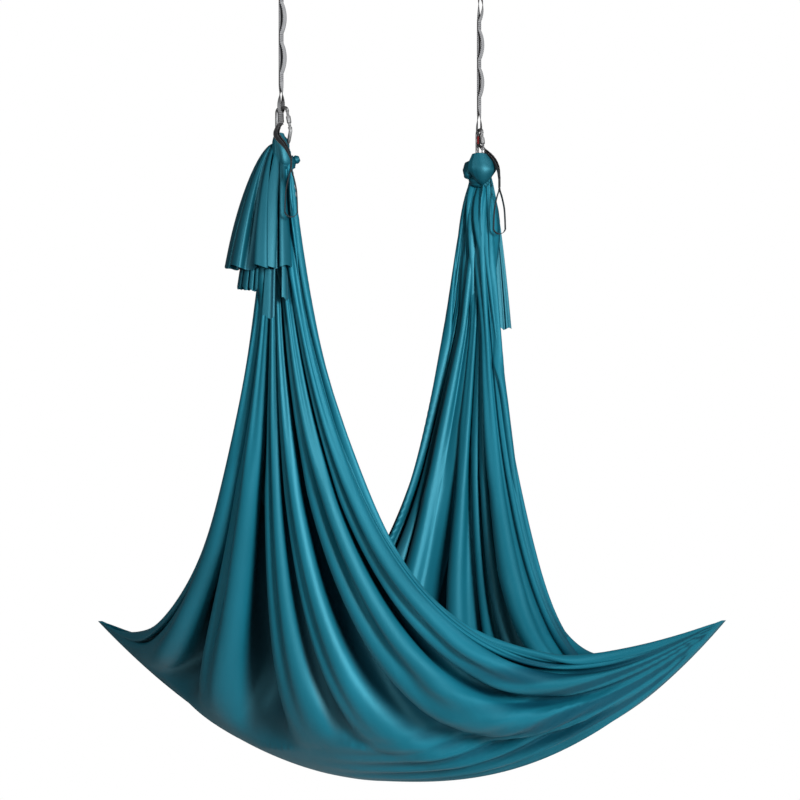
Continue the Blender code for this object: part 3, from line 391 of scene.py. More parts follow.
class Nodes:
    """Adds and links the nodes of one tree."""

    def __init__(self, tree: bpy.types.NodeTree) -> None:
        self.tree = tree

    def node(self, kind: str, links: dict = None, **settings) -> bpy.types.Node:
        """A new node with its settings, and its inputs set or linked by name or place."""
        node = self.tree.nodes.new(kind)
        for key, value in settings.items():
            setattr(node, key, value)
        for key, value in (links or {}).items():
            if isinstance(value, bpy.types.NodeSocket):
                self.tree.links.new(value, node.inputs[key])
            else:
                node.inputs[key].default_value = value
        return node

    def math(self, operation: str, first, second=0.0) -> bpy.types.NodeSocket:
        """Result of one arithmetic step."""
        return self.node("ShaderNodeMath", {0: first, 1: second}, operation=operation).outputs[0]

    def plus(self, first, second, times: float) -> bpy.types.NodeSocket:
        """The first value plus a multiple of the second."""
        return self.math("ADD", first, self.math("MULTIPLY", second, times))

    def sine(self, value, period: float) -> bpy.types.NodeSocket:
        """Wave from -1 to 1: the sine of a full turn for each period of a value."""
        return self.math("SINE", self.math("MULTIPLY", value, math.tau / period))

    def flat_place(self) -> tuple:
        """Place on the flat cloth, and its distances across and along."""
        place = self.node("ShaderNodeUVMap", uv_map="flat").outputs[0]
        axes = self.node("ShaderNodeSeparateXYZ", {0: place}).outputs
        return place, axes[0], axes[1]

    def value(self, name: str) -> bpy.types.NodeSocket:
        """Named number of the mesh."""
        return self.node("ShaderNodeAttribute", attribute_name=name).outputs[2]

    def noise(self, place, scale: float, detail: float = 2.0,
              stretch: tuple = (1.0, 1.0, 1.0)) -> bpy.types.NodeSocket:
        """Noise from 0 to 1 at a place, which may be stretched."""
        mapped = self.node("ShaderNodeMapping", {"Vector": place, "Scale": stretch}).outputs[0]
        links = {"Vector": mapped, "Scale": scale, "Detail": detail}
        return self.node("ShaderNodeTexNoise", links).outputs[0]

    def mix(self, share, first, second, blend: str = "MIX") -> bpy.types.NodeSocket:
        """Colour between two others, or their product where the blend is MULTIPLY."""
        links = {0: share, 6: first, 7: second}
        return self.node("ShaderNodeMix", links, data_type="RGBA", blend_type=blend).outputs[2]

    def ramp(self, value, low: float, high: float) -> bpy.types.NodeSocket:
        """0 below low, 1 above high, eased between."""
        links = {"Value": value, "From Min": low, "From Max": high}
        return self.node("ShaderNodeMapRange", links, interpolation_type="SMOOTHSTEP").outputs[0]


class Shader(Nodes):
    """The nodes of one material."""

    def __init__(self, name: str) -> None:
        self.material = bpy.data.materials.new(name)
        self.material.use_nodes = True
        super().__init__(self.material.node_tree)
        self.bsdf = self.tree.nodes["Principled BSDF"]

    def finish(self, colour, roughness, height, strength: float, distance: float) -> bpy.types.Material:
        """Wires colour, roughness and bump into the shader and returns the material."""
        bump = self.node("ShaderNodeBump", {"Height": height, "Strength": strength, "Distance": distance})
        for key, value in (("Base Color", colour), ("Roughness", roughness), ("Normal", bump.outputs[0])):
            self.tree.links.new(value, self.bsdf.inputs[key])
        return self.material


def knit_group() -> bpy.types.NodeTree:
    """Node group: the height of a tricot knit from flat distances across and along.

    height = 0.5 + 0.5 sin(a + 0.9 sin b), with a and b a full turn for each wale and course.
    """
    group = bpy.data.node_groups.new("tricot_knit", "ShaderNodeTree")
    for name in ("Across", "Along", "Wale", "Course"):
        group.interface.new_socket(name, in_out="INPUT", socket_type="NodeSocketFloat")
    group.interface.new_socket("Height", in_out="OUTPUT", socket_type="NodeSocketFloat")
    nodes = Nodes(group)
    start = nodes.node("NodeGroupInput").outputs
    across = nodes.math("MULTIPLY", nodes.math("DIVIDE", start[0], start[2]), math.tau)
    along = nodes.math("MULTIPLY", nodes.math("DIVIDE", start[1], start[3]), math.tau)
    zigzag = nodes.plus(across, nodes.math("SINE", along), 0.9)
    nodes.node("NodeGroupOutput", {0: nodes.plus(0.5, nodes.math("SINE", zigzag), 0.5)})
    return group


def cloth_material(finish: ClothFinish) -> bpy.types.Material:
    """Satin tricot with a fine knit, soft colour changes and faint creases along the folds, painted shade in
    the valleys of the folds, and a painted greyer tone where a single layer lets light through.
    """
    shader = Shader(finish.name)
    place, across, along = shader.flat_place()
    knit = shader.node("ShaderNodeGroup", node_tree=knit_group())
    for index, value in enumerate((across, along)):
        shader.tree.links.new(value, knit.inputs[index])
    knit.inputs[2].default_value = finish.wale
    knit.inputs[3].default_value = finish.course
    cloudy = shader.noise(place, 1.6, 3.0)
    streaks = shader.noise(place, 9.0, 3.0, (1.0, 0.10, 1.0))
    creases = shader.noise(place, 55.0, 2.0, (1.0, 0.16, 1.0))
    tone = shader.mix(shader.ramp(shader.plus(cloudy, streaks, 0.5), 0.55, 0.95), finish.deep, finish.plain)
    # painted light: the greyer tone where a single layer lets the light behind it through
    lit = shader.mix(shader.value("sheer_backlight"), tone, finish.thin)
    # painted shade: darkens the colour in the valleys of the folds, on whichever face is in view
    back = shader.node("ShaderNodeNewGeometry").outputs["Backfacing"]
    crest = shader.math("SUBTRACT", 1.0, shader.value("valley_shade"))
    low = shader.math("ABSOLUTE", shader.math("SUBTRACT", crest, back))
    shade = shader.mix(shader.ramp(low, 0.40, 1.0), WHITE, finish.shade)
    colour = shader.mix(1.0, lit, shade, "MULTIPLY")
    rough = shader.plus(finish.roughness, streaks, 0.12)
    height = shader.plus(shader.math("MULTIPLY", knit.outputs[0], 0.12), creases, 0.9)
    shader.bsdf.inputs["Specular IOR Level"].default_value = finish.specular
    shader.bsdf.inputs["Specular Tint"].default_value = finish.gloss
    return shader.finish(colour, rough, height, 0.35, 0.0016)


def webbing_material(finish: WebbingFinish) -> bpy.types.Material:
    """Woven webbing: ribs across, a pale centre band, dark edges and two rows of stitches."""
    shader = Shader(finish.name)
    place, across, along = shader.flat_place()
    aside = shader.math("ABSOLUTE", across)
    centre = shader.ramp(aside, finish.band_edge + 0.0003, finish.band_edge - 0.0003)
    row = shader.math("ABSOLUTE", shader.math("SUBTRACT", aside, finish.stitch_place))
    thread = shader.ramp(row, 0.0012, 0.0009)
    beat = shader.ramp(shader.sine(along, finish.stitch_length), -0.35, 0.0)
    stitches = shader.math("MULTIPLY", thread, beat)
    ribs = shader.math("MULTIPLY", shader.sine(along, finish.rib), 0.3)
    weave = shader.plus(ribs, shader.sine(across, finish.warp), 0.25)
    grime = shader.noise(place, 60.0, 3.0)
    shade = shader.mix(shader.ramp(shader.math("ADD", weave, grime), 0.1, 1.0), (0.6, 0.6, 0.6, 1.0), WHITE)
    band = shader.mix(centre, finish.dark, finish.pale)
    colour = shader.mix(stitches, shader.mix(1.0, band, shade, "MULTIPLY"), finish.stitch)
    rough = shader.plus(finish.roughness, grime, 0.15)
    shader.bsdf.inputs["Specular IOR Level"].default_value = 0.30
    return shader.finish(colour, rough, shader.math("ADD", weave, stitches), 0.6, 0.0005)


def thread_material(name: str, colour: tuple) -> bpy.types.Material:
    """Twisted sewing thread, whose ply shows as slanted ridges."""
    shader = Shader(name)
    place, across, along = shader.flat_place()
    ply = shader.sine(shader.math("ADD", across, along), 0.0009)
    dark = tuple(0.55 * channel for channel in colour[:3]) + (1.0,)
    tone = shader.mix(shader.ramp(ply, -0.8, 0.6), dark, colour)
    return shader.finish(tone, shader.plus(0.55, shader.noise(place, 200.0), 0.2), ply, 0.5, 0.0003)


def label_material() -> bpy.types.Material:
    """Plain red woven tape."""
    shader = Shader("red_tape")
    place, across, along = shader.flat_place()
    weave = shader.math("MULTIPLY", shader.sine(across, 0.0007), shader.sine(along, 0.0008))
    tone = shader.mix(shader.ramp(weave, -1.0, 1.0), (0.42, 0.012, 0.016, 1.0), (0.72, 0.03, 0.035, 1.0))
    return shader.finish(tone, shader.plus(0.55, shader.noise(place, 150.0), 0.2), weave, 0.4, 0.0003)


def metal_material(name: str, finish: MetalFinish) -> bpy.types.Material:
    """Metal with fine grain, cloudy gloss and duller worn patches."""
    shader = Shader(name)
    place = shader.node("ShaderNodeTexCoord").outputs["Object"]
    cloudy = shader.noise(place, 42.0, 4.0)
    grain = shader.noise(place, finish.grain, 3.0, (1.0, 1.0, 0.25))
    fine = shader.noise(place, finish.grain * 4.0, 2.0)
    tone = shader.mix(shader.ramp(cloudy, 0.42, 0.75), finish.colour, finish.worn)
    rough = shader.plus(finish.roughness, grain, finish.scratch * 3.0)
    shader.bsdf.inputs["Metallic"].default_value = 1.0
    return shader.finish(tone, rough, shader.plus(grain, fine, 0.4), finish.scratch * 2.0, 0.0002)


# The sling

HALF_SPREAD = 1.208
TIP_ASIDE = 0.072
TIP_HEIGHT = -2.000
TIP_RISE = 0.030
KEEL_SAG = 0.449
KEEL_POWERS = (1.88, 2.5)
NECK_DEPTH = 0.016
NECK_HALF_WIDTH = 0.044
MIDDLE_FALL = 0.950
EDGE_LEAN = 0.052
EDGE_BELLY = 0.100
CLOTH_USED = 0.95
LARGEST_RADIAN = 0.075
FOLD_INSET = 0.55


@dataclass(frozen=True)
class LegShape:
    """Ends and pull of one leg's curves, with pairs for the far and near half of the cloth.

    Attributes:
        leg: -1 in front and 1 at the rear.
        fall: how far the selvedge heads down from the knot.
        run: how far the selvedge's curve reaches back along the keel from the tip.
        dip: how far below the tip that reach ends.
        lean: how far the middle leans in towards the other leg at the knot.
        belly: how far the middle bulges out above the keel.
        out: how far the selvedge leaves the knot sideways.
        power: how fast the reach grows from the middle to the selvedge.
    """

    leg: int
    fall: tuple
    run: tuple
    dip: tuple
    lean: float
    belly: float
    out: tuple
    power: tuple


FRONT_LEG = LegShape(-1, (1.058, 1.388), (0.507, 0.646), (0.149, 0.232), 0.0, 0.215, (0.157, 0.157),
                     (2.1, 2.1))
REAR_LEG = LegShape(1, (0.620, 1.263), (1.380, 0.793), (0.390, 0.342), 0.072, 0.105, (0.130, 0.157),
                    (1.35, 1.9))


def keel(share: np.ndarray) -> np.ndarray:
    """Lowest line of the sling from the far tip (-1) to the near one (+1).

    It sags below the tips by sag (1 - |share| ^ power), with a power for each half.
    """
    sag = KEEL_SAG * (1.0 - np.abs(share) ** np.where(share < 0.0, *KEEL_POWERS))
    return np.stack([TIP_ASIDE * share, -HALF_SPREAD * share, TIP_HEIGHT + TIP_RISE * share - sag], axis=-1)


FAR_TIP, NEAR_TIP = keel(np.array([-1.0, 1.0]))


def leg_net(shape: LegShape, share: np.ndarray) -> np.ndarray:
    """Bezier points (4, columns, 3) of the fold lines of a leg, from knot to keel."""
    leg = shape.leg
    hand = np.where(share < 0.0, -1.0, 1.0)
    pairs = (shape.fall, shape.run, shape.dip, shape.out, shape.power)
    fall, run, dip, wide, power = (np.where(share < 0.0, pair[0], pair[1]) for pair in pairs)
    edge, flat = np.abs(share) ** 3, share ** 2
    low = keel(share * (1.25 - 0.25 * flat))
    low[:, 0] += leg * 0.008
    start = np.stack([leg * (HANG_SPACING / 2.0 + NECK_DEPTH * (1.0 - flat)), -NECK_HALF_WIDTH * share,
                      np.full_like(share, SHEET_TOP)], axis=-1)
    drop = MIDDLE_FALL + (fall - MIDDLE_FALL) * flat
    lean = shape.lean + (EDGE_LEAN - shape.lean) * edge
    belly = shape.belly + (EDGE_BELLY - shape.belly) * edge
    first = start + np.stack([-leg * lean, -wide * share, -drop], axis=-1)
    second = low + np.stack([leg * belly, hand * run * np.abs(share) ** power, -dip * edge], axis=-1)
    return np.stack([start, first, second, low])


def bezier(net: np.ndarray, t: np.ndarray) -> np.ndarray:
    """Points (rows, columns, 3) of cubic Bezier curves at the given shares."""
    t = t[:, None, None]
    return ((1 - t) ** 3 * net[0] + 3 * t * (1 - t) ** 2 * net[1]
            + 3 * t ** 2 * (1 - t) * net[2] + t ** 3 * net[3])


@dataclass(frozen=True)
class FoldSystem:
    """One size of fold, locked to the others by whole octaves.

    Attributes:
        octave: how many times finer than the main folds.
        rise: shares of the leg between which it comes in.
        fade: shares of the leg between which it goes out.
        lead: its phase against the main folds.
        weight: its part of the gathering.
    """

    octave: int
    rise: tuple
    fade: tuple
    lead: float
    weight: float


FOLD_SYSTEMS = (FoldSystem(1, (-0.02, 0.20), (2.0, 3.0), 0.0, 1.0),
                FoldSystem(2, (-0.10, 0.05), (0.34, 0.80), 0.9, 0.5),
                FoldSystem(5, (-0.20, -0.10), (0.12, 0.34), 2.1, 0.22))


@dataclass
class Sling:
    """The wide cloth between the two knots.

    Attributes:
        columns: points across the cloth.
        rows: rows of points down each leg.
        counts: main folds across the front leg and the rear one.
        crests: how much wider crests are than valleys, seen from outside, on each leg.
        near_fan: part of the width whose folds run out into the near tip.
        far_fan: part of the width whose folds run out into the far tip.
        most: most that the cloth is gathered by its folds.
    """

    columns: int = 501
    rows: int = 99
    counts: tuple = (8.5, 12.5)
    crests: tuple = (0.40, -0.35)
    near_fan: float = 1.15
    far_fan: float = 0.40
    most: float = 4.2

    def __post_init__(self) -> None:
        share = np.linspace(-1.0, 1.0, self.columns)
        t = np.linspace(-0.012, 1.0, self.rows)
        front = bezier(leg_net(FRONT_LEG, share), t)
        rear = bezier(leg_net(REAR_LEG, share), t)
        self.base = np.vstack([front, rear[::-1]])
        self.share = np.broadcast_to(share[None, :], self.base.shape[:2])
        self.down = np.broadcast_to(np.concatenate([t, t[::-1]])[:, None], self.base.shape[:2])
        self.behind = np.broadcast_to((np.arange(2 * self.rows) >= self.rows)[:, None], self.base.shape[:2])
        self.out = grid_normals(self.base)
        self.by_row, self.by_column = np.gradient(self.base, axis=0), np.gradient(self.base, axis=1)

    def fold_place(self) -> np.ndarray:
        """Place among the fold lines, from 0 at the near selvedge to 1 at the far one.

        A line of equal place runs from the knot down the leg.  Beside each tip the
        lines gather into it: place = a / (1 - m + m a / reach), with a the distance
        from the selvedge and m growing from knot to keel.
        """
        total = self.share * 0.0
        low = np.clip(self.down, 0.0, 1.0)
        for side, reach, power in ((1.0, self.near_fan, 2.0), (-1.0, self.far_fan, 3.5)):
            span = 1.0 - side * self.share + 0.002
            ratio = span / reach
            inside = ratio / (1.0 + ratio ** 6) ** (1.0 / 6.0)
            gathered = low ** power
            place = span / (1.0 - gathered + gathered * inside + 0.004)
            total = total + side * (place - span) / 2.0
        return (1.0 - self.share) / 2.0 + total

    def gather(self) -> np.ndarray:
        """How many times larger the flat cloth is than its middle surface, at each point."""
        area = np.linalg.norm(np.cross(self.by_row, self.by_column), axis=2)
        length = np.linalg.norm(self.by_row, axis=2)
        flat = FLAT_WIDTH / (self.columns - 1) * length * CLOTH_USED
        return np.clip(flat / np.maximum(area, 1e-9), 1.0, self.most)

    @staticmethod
    def across(grid: np.ndarray, phase: np.ndarray) -> tuple:
        """Direction on a surface in which a phase grows, and the surface length of a radian."""
        by_row, by_column = np.gradient(grid, axis=0), np.gradient(grid, axis=1)
        p_row, p_column = np.gradient(phase, axis=0), np.gradient(phase, axis=1)
        e = (by_column ** 2).sum(axis=2)
        f = (by_column * by_row).sum(axis=2)
        g = (by_row ** 2).sum(axis=2)
        det = np.maximum(e * g - f * f, 1e-14)
        slope = (((g * p_column - f * p_row) / det)[..., None] * by_column
                 + ((e * p_row - f * p_column) / det)[..., None] * by_row)
        size = np.maximum(np.linalg.norm(slope, axis=2), 1e-6)
        return slope / size[..., None], 1.0 / size

    def calm(self) -> np.ndarray:
        """Part of full fold depth: small along the tight selvedges and at the tips."""
        edge = (1.0 - np.abs(self.share) ** 6.0) ** 0.7
        from_far, from_near = (np.linalg.norm(self.base - tip, axis=2) for tip in (FAR_TIP, NEAR_TIP))
        tip_side = smooth_step(from_far / 0.26) * smooth_step((from_near - 0.05) / 0.62)
        low = smooth_step((self.down - 0.70) / 0.22) * smooth_step((0.22 - self.share) / 0.45)
        keel_side = smooth_step((self.down - 0.86) / 0.13) * smooth_step((self.share - 0.10) / 0.30)
        return (0.10 + 0.90 * edge) * tip_side * (1.0 - 0.93 * low) * (1.0 - 0.80 * keel_side)

    def folded(self) -> np.ndarray:
        """The cloth's surface with all its folds."""
        place = self.fold_place()
        keel_place = self.near_fan / 2.0
        count = np.where(self.behind, self.counts[1], self.counts[0])
        crest = np.where(self.behind, self.crests[1], self.crests[0])
        seed = np.where(self.behind, 2.6, 0.5)
        drift = 0.22 * np.sin(math.tau * 2.3 * (place - keel_place) + seed) - 0.22 * np.sin(seed)
        drift = drift + 0.12 * np.sin(math.tau * 4.7 * (place - keel_place) + 2.0 * seed)
        wander = 0.10 * np.sin(math.tau * (0.9 * self.down + 1.3 * place) + seed) * (1.0 - self.down)
        main = math.tau * (count * (place - keel_place) + (drift + wander) * count / 9.0)
        gather = self.gather()
        weights = []
        for system in FOLD_SYSTEMS:
            rise = smooth_step((self.down - system.rise[0]) / (system.rise[1] - system.rise[0]))
            fade = 1.0 - smooth_step((self.down - system.fade[0]) / (system.fade[1] - system.fade[0]))
            border = 0.0 if system.octave == 1 else smooth_step((np.abs(self.share) - 0.86) / 0.08)
            weights.append(system.weight * rise * fade * (1.0 - 0.85 * border))
        total = np.maximum(sum(weights), 0.05)
        grid = self.base.copy()
        calm = self.calm()
        neck = 1.0 + 1.6 * (1.0 - smooth_step(self.down / 0.16))
        # painted shade: 1 in the valleys of the folds and 0 on their crests, to darken the colour there
        self.valley_shade = np.full(grid.shape[:2], 0.5)
        for system, weight in zip(FOLD_SYSTEMS, weights):
            phase = system.octave * main + system.lead
            phase = phase + crest * np.cos(phase)
            direction, radian = self.across(grid, system.octave * main)
            out = grid_normals(grid)
            lively = 0.95 + 0.34 * ripple(1.7 * place + 0.4 * self.down, (1.9, 3.7, 5.3), system.lead + 1.0)
            taken = 1.0 + (gather ** (weight / total) - 1.0) * np.clip(lively, 0.2, 1.3)
            turn = MEANDER.turn_for(taken)
            sideways, outward = MEANDER.offsets(phase, turn)
            high = 2.0 * np.interp(turn, MEANDER.turns, MEANDER.orders[1])
            depth = np.minimum(radian, LARGEST_RADIAN) * taken * calm
            outward = (outward - FOLD_INSET * high) * neck
            lift = np.clip(outward / np.maximum(high * neck, 1e-3) + FOLD_INSET, -0.5, 0.5)
            lift = lift * np.clip(3.0 * (turn - 0.25), 0.0, 1.0)
            self.valley_shade = self.valley_shade - lift * (0.68 if system.octave == 1 else 0.26) * weight * calm
            grid = grid + direction * (sideways * depth)[..., None] + out * (outward * depth)[..., None]
        self.add_keel_pleats(grid)
        self.add_tip_ridges(grid)
        return grid

    def add_keel_pleats(self, grid: np.ndarray) -> None:
        """Long narrow pleats beside the keel on the near side, where the cloth is drawn tight, with painted
        shade in their valleys.
        """
        length = np.linalg.norm(self.by_row, axis=2)
        run = np.cumsum(length, axis=0)
        away = np.abs(run - run[self.rows - 1][None, :])
        wave = np.sin(away * math.tau / KEEL_PLEAT_PITCH + 0.8 + 2.2 * self.share)
        mask = np.exp(-((away - 0.07) / 0.11) ** 2) * smooth_step((self.share + 0.15) / 0.5)
        far = np.linalg.norm(self.base - NEAR_TIP, axis=2)
        mask = mask * (1.0 - np.abs(self.share) ** 10) * smooth_step((far - 0.30) / 0.40)
        grid += self.out * (KEEL_PLEAT_HEIGHT * (wave - 1.0) * mask)[..., None]
        # painted shade in the valleys of the pleats
        self.valley_shade = self.valley_shade * (1.0 - mask) + mask * (0.5 - 0.5 * wave)

    def add_tip_ridges(self, grid: np.ndarray) -> None:
        """Long narrow ridges that run out into the near tip, drawn straight by the pull there, with painted
        shade between them.

        With r the distance from the tip and e(r) the slope of the line to it, a ridge keeps
        q = (e - e_keel(r)) / (e_selvedge(r) - e_keel(r)), and its height follows cos(2 pi n q).
        """
        away = self.base - NEAR_TIP
        far = np.linalg.norm(away, axis=2)
        slope = np.arctan2(away[..., 2], np.hypot(away[..., 0], away[..., 1]) + 1e-6)
        wave, spacing = np.zeros_like(far), np.zeros_like(far)
        for rows in (slice(0, self.rows), slice(self.rows, None)):
            bottom = -1 if rows.start == 0 else 0
            middle = self.columns // 2
            low_far, low_slope = far[rows][bottom, middle:][::-1], slope[rows][bottom, middle:][::-1]
            side_far, side_slope = far[rows][:, -1], slope[rows][:, -1]
            order = np.argsort(side_far)
            under = np.interp(far[rows], low_far, low_slope)
            over = np.interp(far[rows], side_far[order], side_slope[order])
            span = np.maximum(over - under, 0.02)
            place = np.clip((slope[rows] - under) / span, 0.0, 1.0)
            phase = math.tau * TIP_RIDGES * (place + 0.022 * np.sin(4.0 * math.pi * place))
            wave[rows] = np.cos(phase + 0.45 * np.sin(phase))
            spacing[rows] = far[rows] * span / TIP_RIDGES
        mask = (1.0 - smooth_step((far - 0.42) / 0.62)) * smooth_step(far / 0.06)
        height = np.minimum(TIP_RIDGE_STEEPNESS * spacing, TIP_RIDGE_HEIGHT)
        grid += self.out * (height * (wave - 1.0) * mask)[..., None]
        # painted shade in the troughs between the ridges
        self.valley_shade = self.valley_shade * (1.0 - mask) + mask * (0.50 - 0.62 * wave)

    def sheer_backlight(self) -> np.ndarray:
        """Where a single layer lets the light behind it through, painted into the colour as a greyer tone,
        from 0 to 1.
        """
        place = self.fold_place()
        low = smooth_step((self.down - 0.30) / 0.30) * (1.0 - smooth_step((self.down - 0.80) / 0.12))
        left = smooth_step((0.25 - self.share) / 0.30) * low * smooth_step((self.valley_shade - 0.40) / 0.35)
        band = np.clip(0.2 + ripple(place * 3.0, (1.0, 1.9), 0.7), 0.0, 1.0)
        right = 0.12 * smooth_step((self.share - 0.72) / 0.1) * smooth_step((self.down - 0.70) / 0.15)
        return np.clip(np.where(self.behind, 0.5 * low * band, 0.85 * left + right * self.valley_shade), 0.0, 1.0)

    def build(self) -> bpy.types.Object:
        """The whole sheet, from the front knot down, over the keel and up to the rear knot."""
        grid = self.folded()
        self.surface = grid
        along = np.linspace(-FLAT_LENGTH / 2.0, FLAT_LENGTH / 2.0, len(grid))
        obj = grid_object("sling_cloth", grid, self.share[0] * FLAT_WIDTH / 2.0, along,
                          values={"sheer_backlight": self.sheer_backlight(), "valley_shade": np.clip(self.valley_shade, 0.0, 1.0)})
        log.info("sling_cloth: %d points", grid.shape[0] * grid.shape[1])
        return obj

    def hem(self, name: str, column: int) -> bpy.types.Object:
        """Selvedge rolled on itself: a flattened tube with puckers along its upper edge."""
        edge = self.surface[:, column]
        inner = self.surface[:, column - 12 if column else 12]
        steps = np.concatenate([[0.0], np.cumsum(np.linalg.norm(np.diff(edge, axis=0), axis=1))])
        run = np.linspace(0.0, steps[-1], 1500)
        path, aside = resampled(edge, steps, run), resampled(inner - edge, steps, run)
        window = np.hanning(61) / np.hanning(61).sum()
        for values in (path, aside):
            for axis in range(3):
                values[30:-30, axis] = np.convolve(values[:, axis], window, "same")[30:-30]
        wide, thick = section_axes(path, aside)
        angle = np.linspace(0.0, math.tau, 16, endpoint=False)[None, :]
        beat = math.tau * run / HEM_PUCKER_PITCH + 1.8 * np.sin(run * 17.0)
        lively = np.clip(0.2 + ripple(run, (0.9, 2.3, 3.1), 1.0), 0.0, 1.0)
        ends = smooth_step(np.minimum(run, run[-1] - run) / 0.5)
        tip = np.abs(run - run[np.argmax(np.abs(path[:, 1]))])
        lively = lively * smooth_step((tip - 0.35) / 0.25)
        pucker = (lively * np.sin(beat))[:, None] * np.clip(-np.cos(angle), 0.0, 1.0)
        size = ((0.30 + 0.70 * ends) * (0.12 + 0.88 * smooth_step(tip / 0.35)))[:, None]
        span = HEM_HALF_WIDTH * size * (1.0 + 0.10 * np.sin(9.0 * run))[:, None]
        inwards = span * np.cos(angle) + 0.5 * span + 0.0016 * pucker
        upwards = 0.62 * span * np.sin(angle) * (1.0 + 0.25 * pucker)
        grid = path[:, None] + wide[:, None] * inwards[..., None] + thick[:, None] * upwards[..., None]
        plain = {"sheer_backlight": np.zeros(grid.shape[:2]), "valley_shade": np.ones(grid.shape[:2])}
        return grid_object(name, grid, np.linspace(0.0, 0.08, 17), run, wrap=True, cap=True, values=plain)


# Knots and tails


@dataclass(frozen=True)
class Wrap:
    """One turn of the gathered cloth round the knot: a swollen ring.

    Attributes:
        centre: its middle, from the knot's centre.
        axis: direction that it goes round.
        radius: from its middle to the middle of the cloth.
        thick: half of the cloth's thickness, across and along the axis.
        swell: how much fuller one side is than the other, and the azimuth of the full side.
        pleats: lengthwise pleats round its section.
    """

    centre: tuple
    axis: tuple
    radius: float
    thick: tuple
    swell: tuple
    pleats: int


@dataclass(frozen=True)
class Band:
    """One broad turn of cloth laid over the front of a knot.

    Attributes:
        marks: points of its curve: to the viewer's right, towards the viewer, height, half width.
        thick: half of its thickness.
        arch: how far its edges bend back, as a share of its half width.
    """

    marks: tuple
    thick: float
    arch: float


@dataclass
class Knot:
    """A knot of gathered cloth and the bundle that goes over the carabiner's bar.

    Attributes:
        side: front or rear.
        hang: X of the hang point.
        twist: turn of its carabiner about Z.
        wraps: turns of cloth round it.
        bands: broad turns laid over its front.
    """

    side: str
    hang: float
    twist: float
    wraps: tuple
    bands: tuple

    def wrap_grid(self, wrap: Wrap) -> np.ndarray:
        """One wrap: an ellipse carried round a circle, with pleats that slant round it."""
        turn = np.linspace(0.0, math.tau, 150)[:, None]
        angle = -np.linspace(0.0, math.tau, 96, endpoint=False)[None, :]
        axis = np.array(wrap.axis) / np.linalg.norm(wrap.axis)
        first = unit(np.cross(axis, np.array([0.31, 0.87, 0.38])))
        second = np.cross(axis, first)
        out = first * np.cos(turn)[..., None] + second * np.sin(turn)[..., None]
        heading = np.arctan2(out[..., 1], out[..., 0])
        full = 1.0 + wrap.swell[0] * np.cos(heading - wrap.swell[1])
        slant = 1.4 * np.sin(turn + 0.7) + 200.0 * wrap.radius
        pleat = 1.0 + 0.050 * np.sin(wrap.pleats * angle + slant)
        pleat = pleat + 0.030 * np.sin((2 * wrap.pleats + 1) * angle - 2.0 * turn)
        across = wrap.thick[0] * full * np.cos(angle) * pleat
        along = wrap.thick[1] * full * np.sin(angle) * pleat
        ring = out * (wrap.radius + across)[..., None] + axis * along[..., None]
        return ring + np.array(wrap.centre)

    def bundle(self) -> np.ndarray:
        """Eye of cloth over the bar: pleated lengthwise, and flaring down into the knot."""
        turn = np.linspace(0.0, math.tau, 110)[:, None]
        across = np.linspace(0.0, math.tau, 72, endpoint=False)[None, :]
        half = BUNDLE_THICKNESS / 2.0
        low = 0.5 - 0.5 * np.sin(turn)
        middle = CARABINER_ROD / 2.0 + 0.0009 + half
        pleat = 1.0 + 0.07 * np.sin(11.0 * across + 0.5 * np.sin(turn)) + 0.03 * np.sin(23.0 * across)
        radius = middle + (half - 0.0006) * np.cos(across) * pleat
        side = (0.0095 + 0.0085 * low ** 2) * np.sin(across) * pleat
        z = radius * np.sin(turn) - 0.004 * low ** 2 * np.cos(across)
        return np.stack([*turned(radius * np.cos(turn), side, self.twist), z], axis=-1)

    def band_grid(self, band: Band) -> np.ndarray:
        """A broad turn laid over the front: an arched ellipse carried along a curve of marks."""
        marks = np.array(band.marks)
        place = np.linspace(0.0, len(marks) - 1.0, 70)
        aside, ahead, height, half = catmull(marks, place).T[..., None]
        angle = np.linspace(0.0, math.tau, 120, endpoint=False)[None, :]
        path = np.stack([ahead[:, 0], height[:, 0]], axis=-1)
        run = np.gradient(path, axis=0)
        run = run / np.linalg.norm(run, axis=1)[:, None]
        share = np.cos(angle)
        slant = 3.0 * place[:, None] / len(marks)
        pleat = 1.0 + 0.16 * np.sin(17.0 * share + slant) * smooth_step(-share - 0.1)
        raised = band.thick * np.sin(angle) * pleat - band.arch * half * share ** 2
        push = ahead - run[:, 1:] * raised
        rise = height + run[:, :1] * raised
        return np.stack([*turned(aside + half * share, -push, VIEW_TURN), rise], axis=-1)

    def build(self) -> bpy.types.Object:
        """The knot as one object that stands for its solid."""
        at_knot, at_bar = ((self.hang, 0.0, height) for height in (KNOT_CENTRE, LOWER_BOTTOM_BAR))
        parts = [tube("band", self.band_grid(band) + (self.hang, 0.0, 0.0), 0.10, 0.10, cap=True)
                 for band in self.bands]
        parts += [tube("wrap", self.wrap_grid(wrap) + at_knot, 0.10, 0.22) for wrap in self.wraps]
        parts.append(tube("bundle", self.bundle() + at_bar, 0.06, 0.08))
        obj = joined(f"{self.side}_cloth_knot", parts)
        log.info("%s: %d points", obj.name, len(obj.data.vertices))
        return obj


@dataclass(frozen=True)
class Layer:
    """One layer of a loose tail, by azimuth round the hang point.

    Attributes:
        start: azimuth of its first edge, at the hem, in degrees.
        end: azimuth of its last edge, at the hem, in degrees.
        reach: distance of each edge from the hang point's vertical, at the hem.
        hem: height of each edge of the hem.
        folds: folds across it.
        depth: fold depth at the hem.
        tuck: how far it lies inside the outermost layer.
    """

    start: float
    end: float
    reach: tuple
    hem: tuple
    folds: float
    depth: float
    tuck: float = 0.0


